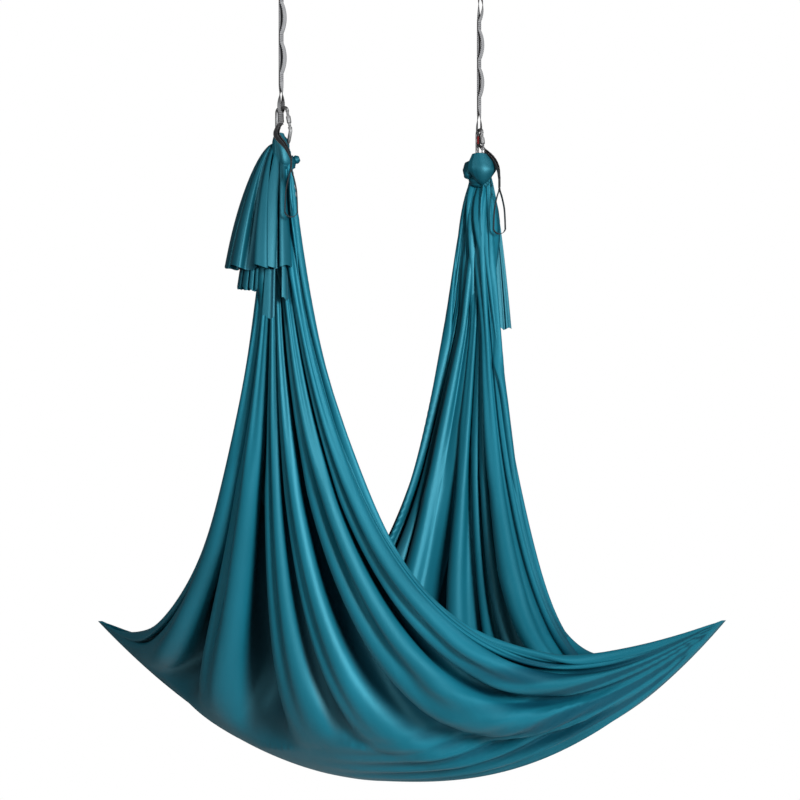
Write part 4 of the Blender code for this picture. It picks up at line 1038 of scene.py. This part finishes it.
@dataclass
class Tail:
    """Loose end of the cloth: layers that fall from the knot's crown to uneven hems.

    Attributes:
        side: front or rear.
        hang: X of the hang point.
        layers: its layers, the outermost one first.
        rows: rows of points down each layer.
    """

    side: str
    hang: float
    layers: tuple
    rows: int = 110

    def cut(self) -> tuple:
        """Width, length and area of the flat cloth in the layers that show.

        Each layer takes w = arc of its hem times the fullness of gathered cloth, over its fall
        from crown to hem.  None of it is measured on the mesh.
        """
        widths = [math.radians(layer.end - layer.start) * sum(layer.reach) / 2.0 * TAIL_FULLNESS
                  for layer in self.layers]
        falls = [TAIL_TOP - sum(layer.hem) / 2.0 for layer in self.layers]
        return sum(widths), max(falls), sum(width * fall for width, fall in zip(widths, falls))

    def layer_grid(self, layer: Layer) -> tuple:
        """One layer, its values of painted valley shade, its area and its length."""
        columns = int(60 + 40 * layer.folds)
        share = np.linspace(0.0, 1.0, columns)[None, :]
        along = np.linspace(0.0, 1.0, self.rows)[:, None]
        middle = math.radians(layer.start + layer.end) / 2.0
        span = math.radians(layer.end - layer.start)
        azimuth = middle + span * (share - 0.5) * (0.62 + 0.38 * along)
        reach = layer.reach[0] + (layer.reach[1] - layer.reach[0]) * share
        crown = TAIL_WAIST + (reach - TAIL_WAIST) * along ** 0.60 - layer.tuck * smooth_step(along / 0.3)
        hem = layer.hem[0] + (layer.hem[1] - layer.hem[0]) * share
        hem = hem + 0.004 * np.sin(math.tau * layer.folds * share + 1.0)
        height = TAIL_TOP + (hem - TAIL_TOP) * along ** 1.12
        base = np.stack([crown * np.cos(azimuth), crown * np.sin(azimuth), height], axis=-1)
        out = grid_normals(base)
        out = out * np.where((out * base)[..., :2].sum(axis=-1, keepdims=True) < 0.0, -1.0, 1.0)
        side = unit(np.gradient(base, axis=1))
        drift = 0.13 * np.sin(math.tau * 1.6 * share + layer.folds)
        phase = math.tau * (layer.folds * share + drift)
        phase = phase + 0.45 * np.cos(phase)
        grow = 0.10 + 0.90 * smooth_step(along / 0.85)
        fine = 0.0004 * np.sin(5.0 * phase + 3.0 * along) * (1.0 - 0.6 * along)
        depth = layer.depth * grow
        grid = (base + out * (depth * (np.sin(phase) - 0.5) + fine)[..., None]
                - side * (0.45 * depth * np.sin(2.0 * phase))[..., None])
        # painted shade in the valleys of the tail's folds
        valley_shade = 0.5 - 0.5 * np.sin(phase) * np.minimum(1.0, 0.5 + grow)
        corners = np.cross(grid[1:, 1:] - grid[:-1, :-1], grid[1:, :-1] - grid[:-1, 1:])
        area = float(np.linalg.norm(corners, axis=2).sum()) / 2.0
        length = float(np.linalg.norm(np.diff(grid[:, columns // 2], axis=0), axis=1).sum())
        return grid + (self.hang, 0.0, 0.0), valley_shade, area, length

    def build(self) -> bpy.types.Object:
        """The tail as one thin sheet of several layers."""
        parts = []
        for layer in self.layers:
            grid, valley_shade, area, length = self.layer_grid(layer)
            parts.append(grid_object("layer", grid, np.linspace(0.0, area / length, grid.shape[1]),
                                     np.linspace(0.0, length, self.rows), values={"valley_shade": valley_shade}))
        obj = joined(f"{self.side}_cloth_tail", parts)
        log.info("%s: %d layers, cut to %.3f square metres", obj.name, len(parts), self.cut()[2])
        return obj


# Webbing


def ribbon(path: np.ndarray, axes: np.ndarray, widths: np.ndarray, thickness: float) -> tuple:
    """Webbing along a path: a flat section with rounded edges, and its flat distances.

    Returns:
        The grid of points, the distance across for each column and along for each row.
    """
    wide, thick = section_axes(path, axes)
    edge = thickness / 2.0
    profile = []
    for sign in (1.0, -1.0):
        for share in np.linspace(1.0, -1.0, 9):
            profile.append((share * sign, sign, 0.0))
        for angle in (-0.5, 0.0, 0.5):
            profile.append((-sign, 0.0, angle))
    rows = []
    across = []
    for share, face, angle in profile:
        half = widths / 2.0 - edge
        if face:
            place = wide * (half * share)[:, None] + thick * (edge * face)
            across.append(share * (STRAP_WIDTH / 2.0 - edge))
        else:
            swing = angle * math.pi / 2.0
            push = edge * math.cos(swing)
            place = wide * ((half + push) * share)[:, None] + thick * (edge * math.sin(swing) * share)
            across.append(share * STRAP_WIDTH / 2.0)
        rows.append(path + place)
    grid = np.stack(rows, axis=1)
    steps = np.linalg.norm(np.diff(path, axis=0), axis=1)
    return grid, np.array(across + across[:1]), np.concatenate([[0.0], np.cumsum(steps)])


def ribbon_object(name: str, path: np.ndarray, axes: np.ndarray, widths: np.ndarray,
                  thickness: float) -> bpy.types.Object:
    """Object of one length of webbing, closed at its ends."""
    grid, across, along = ribbon(path, axes, np.broadcast_to(widths, len(path)), thickness)
    return grid_object(name, grid, across, along, wrap=True, cap=True)


def pocket_swell(height: np.ndarray) -> np.ndarray:
    """Distance between the strap's strands: sewn at tacks, and open as a sine between."""
    within = ((height - BOTTOM_TACK) / POCKET_PITCH) % 1.0
    sewn = TACK_LENGTH / POCKET_PITCH / 2.0
    share = np.clip((within - sewn) / (1.0 - 2.0 * sewn), 0.0, 1.0)
    return STRAND_OFFSET + POCKET_BULGE * np.sin(math.pi * share) ** POCKET_ROUNDING


def lowest_swell(height: np.ndarray) -> np.ndarray:
    """The same in the lowest pocket, wide round the carabiner's bar."""
    low = BOTTOM_TACK + TACK_LENGTH / 2.0
    high = BOTTOM_TACK + POCKET_PITCH - TACK_LENGTH / 2.0
    widest = CARABINER_ROD + STRAP_THICKNESS + 2.0 * RUNNING_GAP + STRAND_GAP
    below = np.sin(math.pi / 2.0 * np.clip((height - low) / (LOWER_TOP_BAR - low), 0.0, 1.0)) ** 0.62
    above = np.sin(math.pi / 2.0 * np.clip((high - height) / (high - LOWER_TOP_BAR), 0.0, 1.0)) ** 1.6
    share = np.where(height < LOWER_TOP_BAR, below, above)
    return STRAND_OFFSET + (widest - STRAND_OFFSET) * share


def strap_width(height: np.ndarray) -> np.ndarray:
    """Webbing width, drawn in where it goes round a carabiner's bar."""
    near = np.minimum(np.abs(height - LOWER_TOP_BAR), np.abs(height - UPPER_BOTTOM_BAR))
    share = np.minimum(near / WIDENING_LENGTH, 1.0)
    return STRAP_WIDTH_ON_BAR + (STRAP_WIDTH - STRAP_WIDTH_ON_BAR) * share


@dataclass
class Strap:
    """One daisy chain, its tacks, and the spare end that hangs beside the knot.

    Attributes:
        side: front or rear.
        leg: -1 in front and 1 at the rear.
        twist: turn of the lower carabiner about Z.
        reach_x: where the spare pocket ends, along X from the hang point.
        reach_y: where it ends along Y.
    """

    side: str
    leg: int
    twist: float
    reach_x: float
    reach_y: float

    @property
    def hang(self) -> float:
        """X of the hang point."""
        return self.leg * HANG_SPACING / 2.0

    def turn_at(self, height: np.ndarray) -> np.ndarray:
        """Turn of the webbing about Z: the same at all tacks but the lowest, and square to each bar."""
        high = BOTTOM_TACK + POCKET_PITCH - TACK_LENGTH / 2.0
        low = smooth_step((high - height) / (high - LOWER_TOP_BAR))
        last = TOP_TACK - POCKET_PITCH
        top = smooth_step((height - last) / (UPPER_BOTTOM_BAR - 0.012 - last))
        return POCKET_TURN * (1.0 - low) * (1.0 - top) + self.twist * low

    def chain(self) -> bpy.types.Object:
        """Daisy chain: down the back, and back up as the pockets, round the upper carabiner."""
        height = np.linspace(STRAP_END, TOP_TACK + TACK_LENGTH / 2.0, 230)
        low = height < BOTTOM_TACK + POCKET_PITCH - TACK_LENGTH / 2.0
        swell = np.where(low, lowest_swell(height), pocket_swell(height))
        swell = np.where(height > TOP_TACK, STRAND_OFFSET, swell)
        back = np.where(low, -swell / 2.0, -STRAND_OFFSET / 2.0)
        front = np.where(low, swell / 2.0, -STRAND_OFFSET / 2.0 + swell)
        wrap = CARABINER_ROD / 2.0 + RUNNING_GAP + STRAP_THICKNESS / 2.0
        angle = np.linspace(math.pi * 1.22, -math.pi * 0.22, 40)
        loop_x = wrap * np.cos(angle)
        loop_z = UPPER_BOTTOM_BAR + wrap * np.sin(angle)
        x = np.concatenate([back, loop_x, front[::-1]])
        z = np.concatenate([height, loop_z, height[::-1]])
        out, axes = level_axes(self.turn_at(z))
        path = out * x[:, None] + np.stack([np.full_like(z, self.hang), 0.0 * z, z], axis=-1)
        return ribbon_object(f"{self.side}_strap_webbing", path, axes, strap_width(z), STRAP_THICKNESS)

    def tack(self, height: float, parts: list) -> None:
        """Four slanted bars of stitching on each face of the strap at one tack."""
        out, across = level_axes(self.turn_at(np.array(height)))
        for face in (-1.0, 1.0):
            for bar in range(4):
                middle = height + (bar - 1.5) * BAR_PITCH
                share = np.linspace(-1.0, 1.0, 25)
                bead = 0.00025 * np.abs(np.sin(share * math.pi * 6.0))
                rise = middle + BAR_SLANT * share
                path = np.stack([np.full_like(share, self.hang), 0.0 * share, rise], axis=-1)
                path = path + across * (share * BAR_HALF_LENGTH)[:, None]
                path = path + out * (face * (BAR_HEIGHT + bead))[:, None]
                axes = np.broadcast_to(np.array([0.0, 0.0, 1.0]), path.shape)
                parts.append(ribbon_object("bar", path, axes, 0.0017, 0.0009))

    def stitching(self) -> bpy.types.Object:
        """All the tacks of the chain as one piece."""
        parts = []
        for pocket in range(5):
            self.tack(BOTTOM_TACK + POCKET_PITCH * pocket, parts)
        return joined(f"{self.side}_strap_stitching", parts)

    def spare_route(self) -> np.ndarray:
        """Middle line of the spare pocket, from the chain's end out past the ring."""
        start = STRAP_END - SEAT_GAP
        bow_x, bow_y = self.leg * math.cos(self.twist), self.leg * math.sin(self.twist)
        shares = ((0.0, 0.0, 0.03), (0.10, 0.04, 0.12), (0.42, 0.30, 0.36), (0.85, 0.78, 0.68),
                  (1.0, 1.0, 1.0))
        bows = (0.0, 0.45, 1.0, 0.45, 0.0)
        marks = np.array([(self.reach_x * a + SPARE_BOW * bow * bow_x,
                           self.reach_y * b + SPARE_BOW * bow * bow_y, start - SPARE_LENGTH * c)
                          for (a, b, c), bow in zip(shares, bows)])
        return np.vstack([(0.0, 0.0, start), catmull(marks, np.linspace(0.0, len(marks) - 1.0, 14))])

    def spare(self) -> bpy.types.Object:
        """Spare pocket: two strands out past the ring, sewn together again at a tack."""
        coarse = self.spare_route()
        place = np.linspace(0.0, len(coarse) - 1.0, 100)
        route = resampled(coarse, np.arange(len(coarse)), place)
        first = 1.0 / (len(coarse) - 1.0)
        opening = np.clip((place / (len(coarse) - 1.0) - first) / (1.0 - first), 0.0, 1.0)
        swell = STRAND_OFFSET + 0.004 * np.sin(math.pi * opening) ** 1.5
        facing = math.radians(55.0)
        angle = (math.pi / 2.0 + self.twist) * (1.0 - opening) + facing * opening
        wide = np.stack([np.cos(angle), np.sin(angle), 0.0 * angle], axis=1)
        along = np.gradient(route, axis=0)
        along[0] = along[-1] = (0.0, 0.0, -1.0)
        apart = unit(np.cross(along, wide))
        low = route[-1] - np.array([0.0, 0.0, TACK_LENGTH - STRAP_THICKNESS])
        tail = np.linspace(route[-1], low, 12)[1:]
        left = np.vstack([route - apart * swell[:, None] / 2.0, tail - apart[-1] * STRAND_OFFSET / 2.0])
        right = np.vstack([route + apart * swell[:, None] / 2.0, tail + apart[-1] * STRAND_OFFSET / 2.0])
        fold = low - np.array([0.0, 0.0, STRAND_OFFSET / 2.0])
        axes = np.vstack([wide, np.repeat(wide[-1:], len(tail), axis=0)])
        grow = np.clip(place / 9.0, 0.0, 1.0)
        widths = np.concatenate([STRAP_WIDTH_ON_BAR + (STRAP_WIDTH - STRAP_WIDTH_ON_BAR) * grow,
                                 np.full(len(tail), STRAP_WIDTH)])
        path = np.vstack([left, fold, right[::-1]]) + (self.hang, 0.0, 0.0)
        self.low_end = fold - np.array([0.0, 0.0, STRAP_THICKNESS / 2.0])
        self.low_apart, self.low_wide = apart[-1], wide[-1]
        return ribbon_object(f"{self.side}_spare_webbing", path, np.vstack([axes, wide[-1:], axes[::-1]]),
                             np.concatenate([widths, [STRAP_WIDTH], widths[::-1]]), STRAP_THICKNESS)

    def end_loop(self) -> bpy.types.Object:
        """Hand loop below the last tack: a long open eye, round at the bottom."""
        half = STRAND_OFFSET / 2.0
        length, radius = LOOP_LENGTH, LOOP_RADIUS
        marks = ((0.0, 0.0), (0.0, 0.03), (0.08, 0.07), (0.45, 0.22), (0.85, 0.48))
        centre = length - radius
        sides = [(half + (radius - half) * a, length * b) for a, b in marks]
        arc = [(radius * math.cos(a), centre + radius * math.sin(a)) for a in np.linspace(0.0, math.pi, 13)]
        outline = np.array(sides + arc + [(-s, d) for s, d in sides[::-1]])
        place = np.linspace(0.0, len(outline) - 1.0, 160)
        outline = catmull(outline, place)
        down = np.array([0.0, 0.0, -1.0])
        top = self.low_end + down * RUNNING_GAP + np.array([self.hang, 0.0, 0.0])
        path = top + self.low_apart * outline[:, :1] + down * outline[:, 1:]
        axes = np.broadcast_to(self.low_wide, path.shape)
        return ribbon_object(f"{self.side}_hand_loop", path, axes, STRAP_WIDTH, STRAP_THICKNESS)


# Stage


LENS = 144.6
SENSOR_WIDTH = 36.0
LENS_SHIFT = 0.1375
CAMERA_DISTANCE = 9.0
CAMERA_ASIDE = 0.048
CAMERA_HEIGHT = -1.69
FLOOR_HEIGHT = -3.20
SOFT_LIGHT = 0.11
LIT_POINT = Vector((0.0, 0.0, -1.5))
LAMPS = (("key", Vector((-3.1, -8.9, -0.5)), 1.8, 1650.0), ("fill", Vector((-5.2, -0.6, 0.6)), 1.6, 110.0),
         ("top", Vector((1.2, -2.8, 2.4)), 1.6, 50.0))


def build_camera() -> None:
    """Level camera in front and to the left of the hammock."""
    data = bpy.data.cameras.new("camera")
    data.lens, data.sensor_width, data.shift_y = LENS, SENSOR_WIDTH, LENS_SHIFT
    camera = bpy.data.objects.new("camera", data)
    camera.location = (*turned(CAMERA_ASIDE, -CAMERA_DISTANCE, VIEW_TURN), CAMERA_HEIGHT)
    camera.rotation_euler = (math.pi / 2.0, 0.0, VIEW_TURN)
    bpy.context.scene.collection.objects.link(camera)
    bpy.context.scene.camera = camera


def build_world() -> None:
    """White to the camera and to transmission rays, and a soft grey for the light and in reflections."""
    world = bpy.data.worlds.new("world")
    bpy.context.scene.world = world
    world.use_nodes = True
    world.node_tree.nodes.clear()
    nodes = Nodes(world.node_tree)
    rays = nodes.node("ShaderNodeLightPath").outputs
    seen = nodes.math("MAXIMUM", rays["Is Camera Ray"], rays["Is Transmission Ray"])
    soft, plain = (nodes.node("ShaderNodeBackground", {"Color": WHITE, "Strength": strength}).outputs[0]
                   for strength in (SOFT_LIGHT, 1.0))
    mix = nodes.node("ShaderNodeMixShader", {0: seen, 1: soft, 2: plain})
    nodes.node("ShaderNodeOutputWorld", {0: mix.outputs[0]})


def build_stage() -> None:
    """Pale round floor below the sling, and three soft lamps that face it."""
    turn = np.linspace(0.0, math.tau, 96, endpoint=False)[None, :]
    radius = np.linspace(0.05, 2.3, 24)[:, None]
    grid = np.stack([radius * np.cos(turn), radius * np.sin(turn), np.full((24, 96), FLOOR_HEIGHT)], axis=-1)
    floor = tube("floor", grid, 1.0, 1.0)
    shader = Shader("pale_floor")
    place = shader.node("ShaderNodeTexCoord").outputs["Object"]
    tone = shader.mix(shader.noise(place, 3.0), (0.80, 0.80, 0.79, 1.0), (0.84, 0.84, 0.83, 1.0))
    rough = shader.plus(0.7, shader.noise(place, 30.0), 0.1)
    floor.data.materials.append(shader.finish(tone, rough, shader.noise(place, 80.0), 0.05, 0.001))
    for name, place, size, power in LAMPS:
        data = bpy.data.lights.new(name, "AREA")
        data.shape, data.size, data.energy = "SQUARE", size, power
        lamp = bpy.data.objects.new(name, data)
        lamp.location = place
        lamp.rotation_euler = (LIT_POINT - place).to_track_quat("-Z", "Y").to_euler()
        bpy.context.scene.collection.objects.link(lamp)
    bpy.context.scene.view_settings.view_transform = "Standard"


# Assembly


def dress(obj: bpy.types.Object, material: bpy.types.Material, body: str, slot: Slot, *nodes: str) -> None:
    """Gives a piece its material and body, and hides the solids that it stands for."""
    obj.data.materials.clear()
    obj.data.materials.append(material)
    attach(obj, body)
    if nodes:
        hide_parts(*nodes)


FRONT_WRAPS = (
    Wrap((0.000, 0.000, -0.006), (0.15, -0.25, 1.0), 0.0225, (0.0190, 0.0190), (0.06, 3.9), 9),
    Wrap((-0.004, 0.002, 0.006), (-0.50, 0.35, 0.80), 0.0190, (0.0150, 0.0150), (0.10, 2.6), 8),
    Wrap((0.004, -0.010, 0.010), (0.55, -0.50, 0.70), 0.0150, (0.0130, 0.0120), (0.10, 5.2), 7),
    Wrap((0.030, -0.028, 0.000), (0.70, -0.60, 0.30), 0.0040, (0.0075, 0.0095), (0.05, 5.2), 5))
REAR_WRAPS = (
    Wrap((0.004, 0.000, -0.004), (0.10, -0.10, 1.0), 0.0160, (0.0165, 0.0200), (0.05, 4.3), 8),
    Wrap((-0.020, 0.017, 0.024), (0.30, 0.26, 0.92), 0.0080, (0.0115, 0.0245), (0.06, 2.6), 7),
    Wrap((0.004, -0.018, -0.010), (0.45, -0.60, 0.66), 0.0150, (0.0130, 0.0130), (0.05, 4.3), 6),
    Wrap((0.000, 0.000, 0.019), (0.10, -0.10, 1.0), 0.0100, (0.0110, 0.0110), (0.04, 4.0), 7))
FRONT_BANDS = (
    Band(((-0.004, 0.030, -0.668, 0.013), (-0.003, 0.036, -0.690, 0.020), (0.002, 0.040, -0.715, 0.024),
          (0.004, 0.038, -0.745, 0.026), (0.006, 0.026, -0.765, 0.024)), 0.0060, 0.30),)
REAR_BANDS = (
    Band(((0.000, 0.048, -0.668, 0.021), (0.004, 0.053, -0.691, 0.035), (0.008, 0.056, -0.714, 0.041),
          (0.009, 0.049, -0.735, 0.030), (0.010, 0.037, -0.750, 0.015), (0.010, 0.015, -0.757, 0.006)),
         0.0052, 0.34),)
FRONT_LAYERS = (
    Layer(124.0, 212.0, (0.150, 0.118), (-1.030, -1.036), 2.6, 0.0170),
    Layer(196.0, 250.0, (0.112, 0.070), (-1.034, -1.034), 1.4, 0.0120),
    Layer(132.0, 190.0, (0.128, 0.110), (-1.084, -1.096), 4.2, 0.0070, 0.010),
    Layer(194.0, 216.0, (0.092, 0.082), (-1.168, -1.170), 1.0, 0.0045, 0.008),
    Layer(232.0, 252.0, (0.066, 0.060), (-1.118, -1.122), 1.0, 0.0040, 0.004))
REAR_LAYERS = (Layer(-73.0, -53.0, (0.060, 0.094), (-1.166, -1.172), 1.3, 0.0040),)


def build_cloth(material: bpy.types.Material, knot_tail_shaded: bpy.types.Material) -> None:
    """The sling with its rolled selvedges, both knots and both tails; the knots and tails take a darker copy
    of the satin, which is painted shade.
    """
    sling = Sling()
    cloth = sling.build()
    hems = [sling.hem("near_selvedge", sling.columns - 1), sling.hem("far_selvedge", 0)]
    dress(cloth, material, "hammock", Slot.CLOTH, "hammock_sheet")
    for hem in hems:
        dress(hem, material, "hammock", Slot.CLOTH)
    half = HANG_SPACING / 2.0
    for side, hang, twist, wraps, bands, layers in (
            ("front", -half, 0.0, FRONT_WRAPS, FRONT_BANDS, FRONT_LAYERS),
            ("rear", half, REAR_TWIST, REAR_WRAPS, REAR_BANDS, REAR_LAYERS)):
        knot = Knot(side, hang, twist, wraps, bands).build()
        # painted shade: the knot and the tail take the darker copy of the satin
        dress(knot, knot_tail_shaded, "hammock", Slot.CLOTH, f"{side}_knot")
        loose = Tail(side, hang, layers)
        tail = loose.build()
        dress(tail, knot_tail_shaded, "hammock", Slot.CLOTH, f"{side}_tail")
        width, length, area = loose.cut()


def build_webbing(web: bpy.types.Material, shade: bpy.types.Material, thread: bpy.types.Material,
                  tape: bpy.types.Material) -> None:
    """Both daisy chains with their tacks, spare pockets and hand loops, and the red tab; the spare pockets
    and hand loops take the darker copy of the webbing, which is painted shade.
    """
    straps = (Strap("front", -1, 0.0, -0.048, -0.098), Strap("rear", 1, REAR_TWIST, -0.014, -0.098))
    for strap in straps:
        side = strap.side
        dress(strap.chain(), web, f"{side}_strap", Slot.WEBBING, f"{side}_daisy_chain")
        dress(strap.stitching(), thread, f"{side}_strap", Slot.WEBBING)
        # painted shade: the spare pocket and the hand loop take the darker copy of the webbing
        dress(strap.spare(), shade, f"{side}_strap", Slot.WEBBING, f"{side}_strap_spare_pocket")
        dress(strap.end_loop(), shade, f"{side}_end_loop", Slot.WEBBING, f"{side}_strap_end_loop")
    dress(build_tab(), tape, "rear_strap", Slot.LABEL, "rear_strap_label_tab")


def build_tab() -> bpy.types.Object:
    """Bare red tab, sewn flat against the rear strap's lowest tack."""
    low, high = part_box("rear_strap_label_tab")
    middle = (low + high) / 2.0
    height = np.linspace(low.z, high.z, 30)
    bow = 0.0006 * np.sin(np.linspace(0.0, math.pi, 30))
    out, across = level_axes(np.array(REAR_TWIST))
    path = np.stack([np.full(30, middle.x), np.full(30, middle.y), height], axis=-1) - out * bow[:, None]
    return ribbon_object("rear_red_tab", path, np.broadcast_to(across, path.shape), 0.014, 0.0008)


def dress_metal() -> None:
    """Materials of the solids that are shown as they are."""
    finishes = {
        Slot.CARABINER: MetalFinish(),
        Slot.ANCHOR: MetalFinish((0.56, 0.57, 0.58, 1.0), (0.36, 0.36, 0.37, 1.0), 0.34, 0.08, 190.0),
        Slot.BOLT: MetalFinish((0.60, 0.60, 0.56, 1.0), (0.45, 0.44, 0.38, 1.0), 0.30, 0.05, 320.0),
        Slot.SPRING: MetalFinish((0.45, 0.45, 0.45, 1.0), (0.32, 0.32, 0.32, 1.0), 0.35, 0.05, 500.0),
    }
    made = {slot: metal_material(slot.value, finish) for slot, finish in finishes.items()}
    slots = {part["node"]: part["material_slot"] for part in frame["record"]["subparts"]}
    for name, node in frame["nodes"].items():
        for slot, material in made.items():
            if slots.get(name) == slot.value:
                node.data.materials.clear()
                node.data.materials.append(material)


def main() -> None:
    """Builds the stage and dresses every piece of the hammock."""
    build_camera()
    build_world()
    build_stage()
    # painted shade: a darker copy of the satin for the knots and tails
    knot_tail_shaded = ClothFinish("knot_tail_shaded_tricot", (0.0014, 0.038, 0.056, 1.0), (0.0022, 0.052, 0.076, 1.0))
    build_cloth(cloth_material(ClothFinish()), cloth_material(knot_tail_shaded))
    # painted shade: a darker copy of the webbing for the spare pockets and hand loops
    spare = WebbingFinish("spare_webbing", (0.010, 0.010, 0.012, 1.0), (0.060, 0.060, 0.064, 1.0))
    build_webbing(webbing_material(WebbingFinish()), webbing_material(spare),
                  thread_material("tack_thread", (0.09, 0.09, 0.10, 1.0)), label_material())
    dress_metal()


if __name__ == "__main__":
    main()
